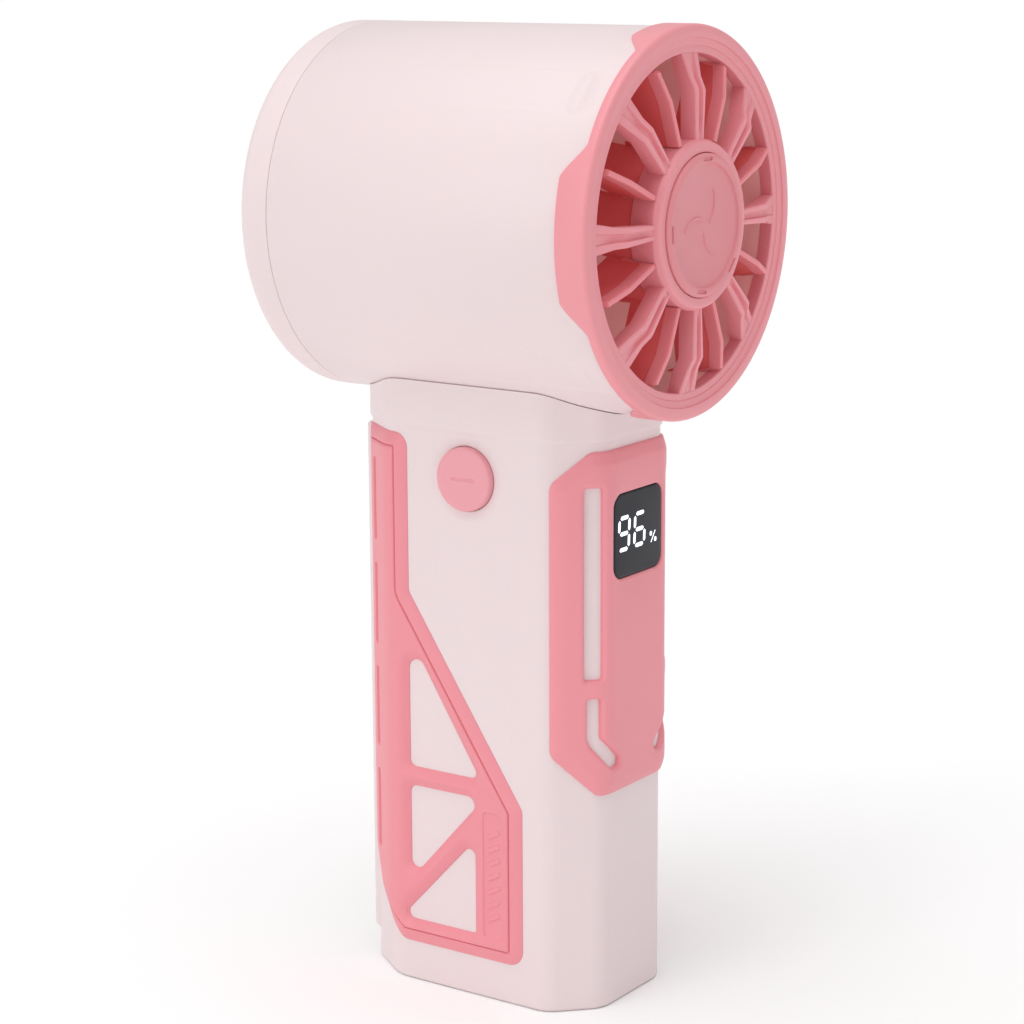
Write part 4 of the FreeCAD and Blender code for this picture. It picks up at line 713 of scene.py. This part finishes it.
def handle_shell():
    """The handle's outside: section, base edge, collar, key holes and shallow relief."""
    middle = section.side(BUTTON_Y)
    holes = [Disc(middle, BUTTON_Z, BUTTON + 0.08), Disc(section.long - middle, BUTTON_Z, BUTTON + 0.08)]
    reliefs = side_relief()
    reliefs += [flipped(shape) for shape in reliefs]
    quarter = np.linspace(0, math.pi / 2, 6)
    base = [(BASE_ROUND * (1 - math.cos(a)), -BASE_ROUND * (1 - math.sin(a))) for a in quarter]
    collar = ((COLLAR_FOOT - 0.3, 0), (COLLAR_FOOT - 0.1, 0.08), (COLLAR_FOOT + 0.25, 0.34),
              (COLLAR_FOOT + 0.6, COLLAR))
    lip = ((-2.0, 0.0), (-1.5, -0.05), (-0.9, -0.22), (-0.35, -0.25), (-0.12, -0.3), (0.0, -0.42))
    dent = ((0, 0), (0.45, -0.10), (0.8, -0.12))
    across = np.unique(np.concatenate((section.u, np.arange(0, section.long, 1.5))))
    top = [(u, float(shell_top(u)) - 0.02) for u in across]
    loops = [np.array([(u, 0.0) for u in across] + top[::-1])]
    loops += [hole.loop(inset) for hole in holes for inset, _ in lip]
    loops += [shape.loop(inset) for shape in reliefs for inset, _ in dent]
    rows = [z for z, _ in base[1:]] + [z for z, _ in collar]
    lines = [[(u, z) for u in across] for z in rows]
    lines += section.lines(0.01, section.long - 0.01, BASE_ROUND, COLLAR_FOOT - 0.5)

    def keep(flat):
        inside = flat[:, 1] < np.interp(flat[:, 0], across, [z for _, z in top])
        for hole in holes:
            inside &= hole.depth(flat) < 0
        return inside

    def height(flat):
        raised = np.interp(flat[:, 1], [z for z, h in base], [h for z, h in base])
        raised += np.interp(flat[:, 1], [z for z, h in collar], [h for z, h in collar])
        for hole in holes:
            raised += steps(lip, hole.depth(flat))
        for shape in reliefs:
            raised += steps(dent, shape.depth(flat))
        return raised

    part = skin(section.place, loops, keep, height, -WALL, lines, section.long)
    piece("handle_skin", [part], PALE, ["handle_shell"])


def trim_outline():
    """The outline of a side frame on the unrolled section."""
    side = section.side
    spine = -SPINE_LOW.x + 0.1
    low, high, toe, band = TRIM_LOW.z, TRIM_HIGH.z, side(TRIM_LOW.y), side(12.85)
    return Outline([(spine, high), (band, high), (band, 72.3), (toe, 36.2), (toe, low), (side(15.0), low),
                    (side(22.6), 14.6), (spine, 22.6)], [0.3, 2.6, 2.2, 2.2, 3.0, 2.8, 4.0, 0.3])


def trims():
    """The raised side frames: border, fine groove, three windows, a sunk plate and slots at the back."""
    side = section.side
    outer = trim_outline()
    edge = ((0, 0.02), (0.06, 0.12), (0.3, 0.24), (0.9, 0.45), (1.6, 0.68), (2.0, 0.78), (2.28, 0.80),
            (2.40, 0.56), (2.50, 0.56), (2.60, 0.90), (2.8, 1.04), (3.1, 1.09), (3.5, SKIN))
    back = side(12.85)
    windows = [Outline([(back, 64.3), (back, 40.4), (side(-2.2), 40.4)], [1.7, 1.3, 1.0], 0.8),
               Outline([(back, 36.85), (back, 19.4), (side(-2.8), 36.85)], [1.3, 1.4, 1.5], 0.8),
               Outline([(side(-1.05), 29.0), (side(15.05), 11.8), (side(-1.05), 11.8)], [1.2, 1.2, 0.5], 0.8)]
    slope = ((0, -0.03), (0.06, 0.14), (0.4, 0.36), (0.9, 0.64), (1.5, 0.94), (1.85, 1.05), (2.2, SKIN))
    plate = Outline([(side(-3.3), 11.8), (side(-3.3), 35.1), (side(-7.9), 35.1), (side(-7.9), 11.8)],
                    [0.9, 0.9, 2.2, 0.9], 1.0)
    sunk = ((0, 0), (0.2, -0.22), (0.35, -0.26))
    near, far = side(-4.3), side(-6.9)
    ribs = [Outline([(near, z), (near, z + 1.1), (far, z + 2.4), (far, z + 1.3)], 0.2, 1.0)
            for z in (14.6 + 2.55 * k for k in range(7))]
    raised_rib = ((0, 0), (0.2, 0.2))
    slots = [Outline([(14.5, low), (14.5, low + 15.0), (15.9, low + 15.0), (15.9, low)], 0.68, 1.0)
             for low in (22.8 + 19.05 * k for k in range(4))]
    slot_wall = ((0, 0), (0.14, -0.38), (0.3, -0.5))
    reliefs = [(plate, sunk)] + [(rib, raised_rib) for rib in ribs] + [(slot, slot_wall) for slot in slots]
    loops = [outer.loop(inset) for inset, _ in edge]
    loops += [window.loop(-away) for window in windows for away, _ in slope]
    loops += [shape.loop(inset) for shape, profile in reliefs for inset, _ in profile]
    lines = section.lines(9.5, side(10), TRIM_LOW.z - 1, TRIM_HIGH.z + 1, 1.5)

    def keep(flat):
        inside = outer.depth(flat) > 0
        for window in windows:
            inside &= window.depth(flat) < 0
        return inside

    def height(flat):
        raised = steps(edge, outer.depth(flat))
        for window in windows:
            raised = np.minimum(raised, steps(slope, -window.depth(flat)))
        for shape, profile in reliefs:
            raised = raised + steps(profile, shape.depth(flat))
        return raised

    left = skin(section.place, loops, keep, height, SKIN_FOOT, lines)
    piece("side_trim_left", [left], PINK, ["trim_left"])
    piece("side_trim_right", [mirrored(left)], PINK, ["trim_right"])


def display_outline(grow=0.0):
    """The outline of the lens on the unrolled section."""
    left, right = section.face(LENS_LOW.x - grow), section.face(LENS_HIGH.x + grow)
    low, high = LENS_LOW.z - grow, LENS_HIGH.z + grow
    return Outline([(left, low), (right, low), (right, high), (left, high)], 2.2 + grow, 0.8)


def front_panel():
    """The raised panel round the front, with slots down to the shell and a window for the lens."""
    face, side = section.face, section.side
    brink = side(-16.3)
    middle = section.long / 2
    low, high = PANEL_LOW.z, PANEL_HIGH.z
    left = [(face(-11.0), high), (brink, high - 5.4), (brink, low + 7.6), (face(-10.1), low)]
    outer = Outline(left + [(2 * middle - u, z) for u, z in reversed(left)], 2.6)
    edge = ((0, 0.08), (0.06, 0.3), (0.2, 0.45), (0.5, 0.58), (1.3, 0.84), (2.0, 1.03), (2.4, 1.08),
            (2.8, SKIN))
    outer_side, inner_side = face(-11.75), face(-9.5)
    slot = Outline([(outer_side, 60.1), (inner_side, 60.1), (inner_side, 93.5), (outer_side, 93.5)], 0.5, 0.9)
    bent = Outline([(face(-11.4), 56.7), (face(-11.4), 49.5), (face(-11.0), 48.2), (face(-7.7), 43.9),
                    (face(-5.7), 44.1), (face(-5.7), 45.4), (face(-9.8), 49.6), (face(-9.8), 56.7)],
                   [0.5, 1.2, 1.2, 0.5, 0.6, 0.6, 1.2, 0.5], 0.8)
    holes = [slot, bent, flipped(slot), flipped(bent)]
    wall = ((0, -0.03), (0.1, 0.5), (0.26, 0.84), (0.5, 1.02), (0.75, 1.08), (1.0, SKIN))
    window = display_outline(0.05)
    rim = ((0, 0.3), (0.05, 0.86), (0.22, 1.02), (0.5, SKIN))
    openings = [(hole, wall) for hole in holes] + [(window, rim)]
    loops = [outer.loop(inset) for inset, _ in edge]
    loops += [shape.loop(-away) for shape, profile in openings for away, _ in profile]
    lines = section.lines(brink, 2 * middle - brink, low - 1, high + 1, 1.5)

    def keep(flat):
        inside = outer.depth(flat) > 0
        for shape, _ in openings:
            inside &= shape.depth(flat) < 0
        return inside

    def height(flat):
        raised = steps(edge, outer.depth(flat))
        for shape, profile in openings:
            raised = np.minimum(raised, steps(profile, -shape.depth(flat)))
        return raised

    part = skin(section.place, loops, keep, height, SKIN_FOOT, lines)
    # The panel's lighter pink is painted light.
    piece("panel", [part], PINK_PANEL_PAINTED_LIGHT, ["front_panel"])


def display():
    """Smoked lens with softened edges and the lit digits just proud of it."""
    lens = display_outline()
    edge = ((0, 0.62), (0.08, 0.80), (0.25, 0.88), (0.5, 0.9))
    loops = [lens.loop(inset) for inset, _ in edge]
    part = skin(section.place, loops, lambda flat: lens.depth(flat) > 0,
                lambda flat: steps(edge, lens.depth(flat)), 0.1)
    piece("lens", [part], SMOKED, ["display_lens"])
    parts = []
    for corners, radius in digit_shapes():
        shape = Outline([(section.face(x), z) for x, z in corners], radius, 1.0)
        parts.append(skin(section.place, [shape.loop()], lambda flat, s=shape: s.depth(flat) > 0,
                          lambda flat: np.full(len(flat), 0.91), 0.7))
    piece("digits", parts, LIT, ["display_digits"])


def digit_shapes():
    """The bars of two seven-segment digits and a percent sign, leaning a little to the right."""
    wide, tall, e, gap, low, first = 3.15, 5.5, 0.36, 0.26, 82.1, -6.25
    half = tall / 2

    def leaning(corners, left):
        return [(left + x + (z - low) * 0.057, z) for x, z in corners]

    def lying(z, left):
        return leaning([(gap, z), (e + gap, z - e), (wide - e - gap, z - e), (wide - gap, z),
                        (wide - e - gap, z + e), (e + gap, z + e)], left)

    def upright(x, z, left):
        return leaning([(x, z + gap), (x + e, z + e + gap), (x + e, z + half - e - gap), (x, z + half - gap),
                        (x - e, z + half - e - gap), (x - e, z + e + gap)], left)

    shapes = []
    for left, lit in ((first, "abcdfg"), (first + 4.95, "acdefg")):
        for name in lit:
            if name in "agd":
                shapes.append((lying(low + {"a": tall, "g": half, "d": 0}[name], left), 0.1))
            else:
                x, z = {"b": (wide, half), "c": (wide, 0), "e": (0, 0), "f": (0, half)}[name]
                shapes.append((upright(x, low + z, left), 0.1))
    sign, foot = first + 9.95, low - 0.4
    for x, z in ((0, 1.2), (1.45, 0)):
        shapes.append(([(sign + x, foot + z), (sign + x + 0.75, foot + z), (sign + x + 0.75, foot + z + 0.8),
                        (sign + x, foot + z + 0.8)], 0.3))
    stroke = ((0.25, 0), (0.55, 0), (1.95, 2), (1.65, 2))
    shapes.append(([(sign + x, foot + z) for x, z in stroke], 0.1))
    return shapes


def spine_cover():
    """The raised strip down the back."""
    pad = Outline([(SPINE_LOW.x, SPINE_LOW.z), (SPINE_HIGH.x, SPINE_LOW.z), (SPINE_HIGH.x, SPINE_HIGH.z),
                   (SPINE_LOW.x, SPINE_HIGH.z)], 0.8, 3.0)
    high = SPINE_HIGH.y - BACK
    edge = ((0, 0.1), (0.25, high * 0.5), (0.6, high * 0.82), (1.1, high * 0.97), (1.6, high))
    part = skin(on_back, [pad.loop(inset) for inset, _ in edge], lambda flat: pad.depth(flat) > 0,
                lambda flat: steps(edge, pad.depth(flat)), -1.4)
    piece("spine_pad", [part], PALE, ["spine_cover"])


def keys():
    """Round keys with a softened edge and a sunk sign."""
    disc = Disc(0, 0, BUTTON)
    proud = -BUTTON_LOW.x - HALF_WIDTH
    edge = ((0, proud - 0.42), (0.08, proud - 0.2), (0.26, proud - 0.05), (0.5, proud), (0.9, proud - 0.03))
    sign = ((0, 0), (0.14, -0.16))
    arm, half = 2.5, 0.3
    lying = Outline([(-arm, -half), (arm, -half), (arm, half), (-arm, half)], 0.28, 1.0)
    cross = Outline([(-arm, -half), (-half, -half), (-half, -arm), (half, -arm), (half, -half), (arm, -half),
                     (arm, half), (half, half), (half, arm), (-half, arm), (-half, half), (-arm, half)],
                    0.1, 1.0)
    for name, shape in (("minus", lying), ("plus", cross)):
        loops = [disc.loop(inset) for inset, _ in edge] + [shape.loop(inset) for inset, _ in sign]
        part = skin(on_left, loops, lambda flat: disc.depth(flat) > 0,
                    lambda flat, s=shape: steps(edge, disc.depth(flat)) + steps(sign, s.depth(flat)), -2.2)
        part = part if name == "minus" else mirrored(part)
        piece(name + "_key_cap", [part], PINK_KEY, [name + "_button"], body=name + "_key")


# ---- surroundings ----------------------------------------------------------------------------

def camera():
    """The view from in front of the left side and a little above."""
    place = Vector((-385.8, -265.7, 186.2)) * MM
    turn, down, roll = math.radians(-55.216), math.radians(12.196), math.radians(-0.308)
    ahead = Vector((-math.sin(turn) * math.cos(down), math.cos(turn) * math.cos(down), -math.sin(down)))
    right = Vector((math.cos(turn), math.sin(turn), 0))
    up = right.cross(ahead)
    right, up = right * math.cos(roll) + up * math.sin(roll), up * math.cos(roll) - right * math.sin(roll)
    lens = bpy.data.cameras.new("camera")
    lens.lens = 95.42
    lens.clip_start = 0.01
    made = bpy.data.objects.new("camera", lens)
    made.matrix_world = Matrix.Translation(place) @ Matrix((right, up, -ahead)).transposed().to_4x4()
    bpy.context.scene.collection.objects.link(made)
    bpy.context.scene.camera = made


def sun(name, toward, strength, spread):
    """A broad, even light that shines along a direction."""
    light = bpy.data.lights.new(name, "SUN")
    light.energy = strength
    light.angle = math.radians(spread)
    made = bpy.data.objects.new(name, light)
    made.location = (0, 0, 1)
    made.rotation_euler = Vector(toward).to_track_quat("-Z", "Y").to_euler()
    bpy.context.scene.collection.objects.link(made)


def surroundings():
    """Pale floor, white studio, a broad soft light from above and a lower one from the left."""
    mesh = bpy.data.meshes.new("floor")
    far = 60
    mesh.from_pydata([(-far, -far, 0), (far, -far, 0), (far, far, 0), (-far, far, 0)], [], [(0, 1, 2, 3)])
    mesh.materials.append(material("floor_paper", (0.99, 0.99, 0.99), 0.9, deeper=0.997, grain=0.0))
    floor = bpy.data.objects.new("floor", mesh)
    bpy.context.scene.collection.objects.link(floor)
    world = bpy.data.worlds.new("studio")
    world.use_nodes = True
    world.node_tree.nodes["Background"].inputs["Color"].default_value = (1, 1, 1, 1)
    world.node_tree.nodes["Background"].inputs["Strength"].default_value = 0.55
    bpy.context.scene.world = world
    sun("overhead", (0.2, 0.0, -0.98), 1.45, 60)
    sun("left", (0.88, -0.22, -0.3), 0.45, 30)
    bpy.context.scene.view_settings.view_transform = "Standard"


camera()
finish_cad_nodes()
head_barrel()
rear_cover()
intake_grille()
front_grille()
hub_badge()
stator_vanes()
duct_liner()
handle_shell()
trims()
front_panel()
display()
spine_cover()
keys()
surroundings()
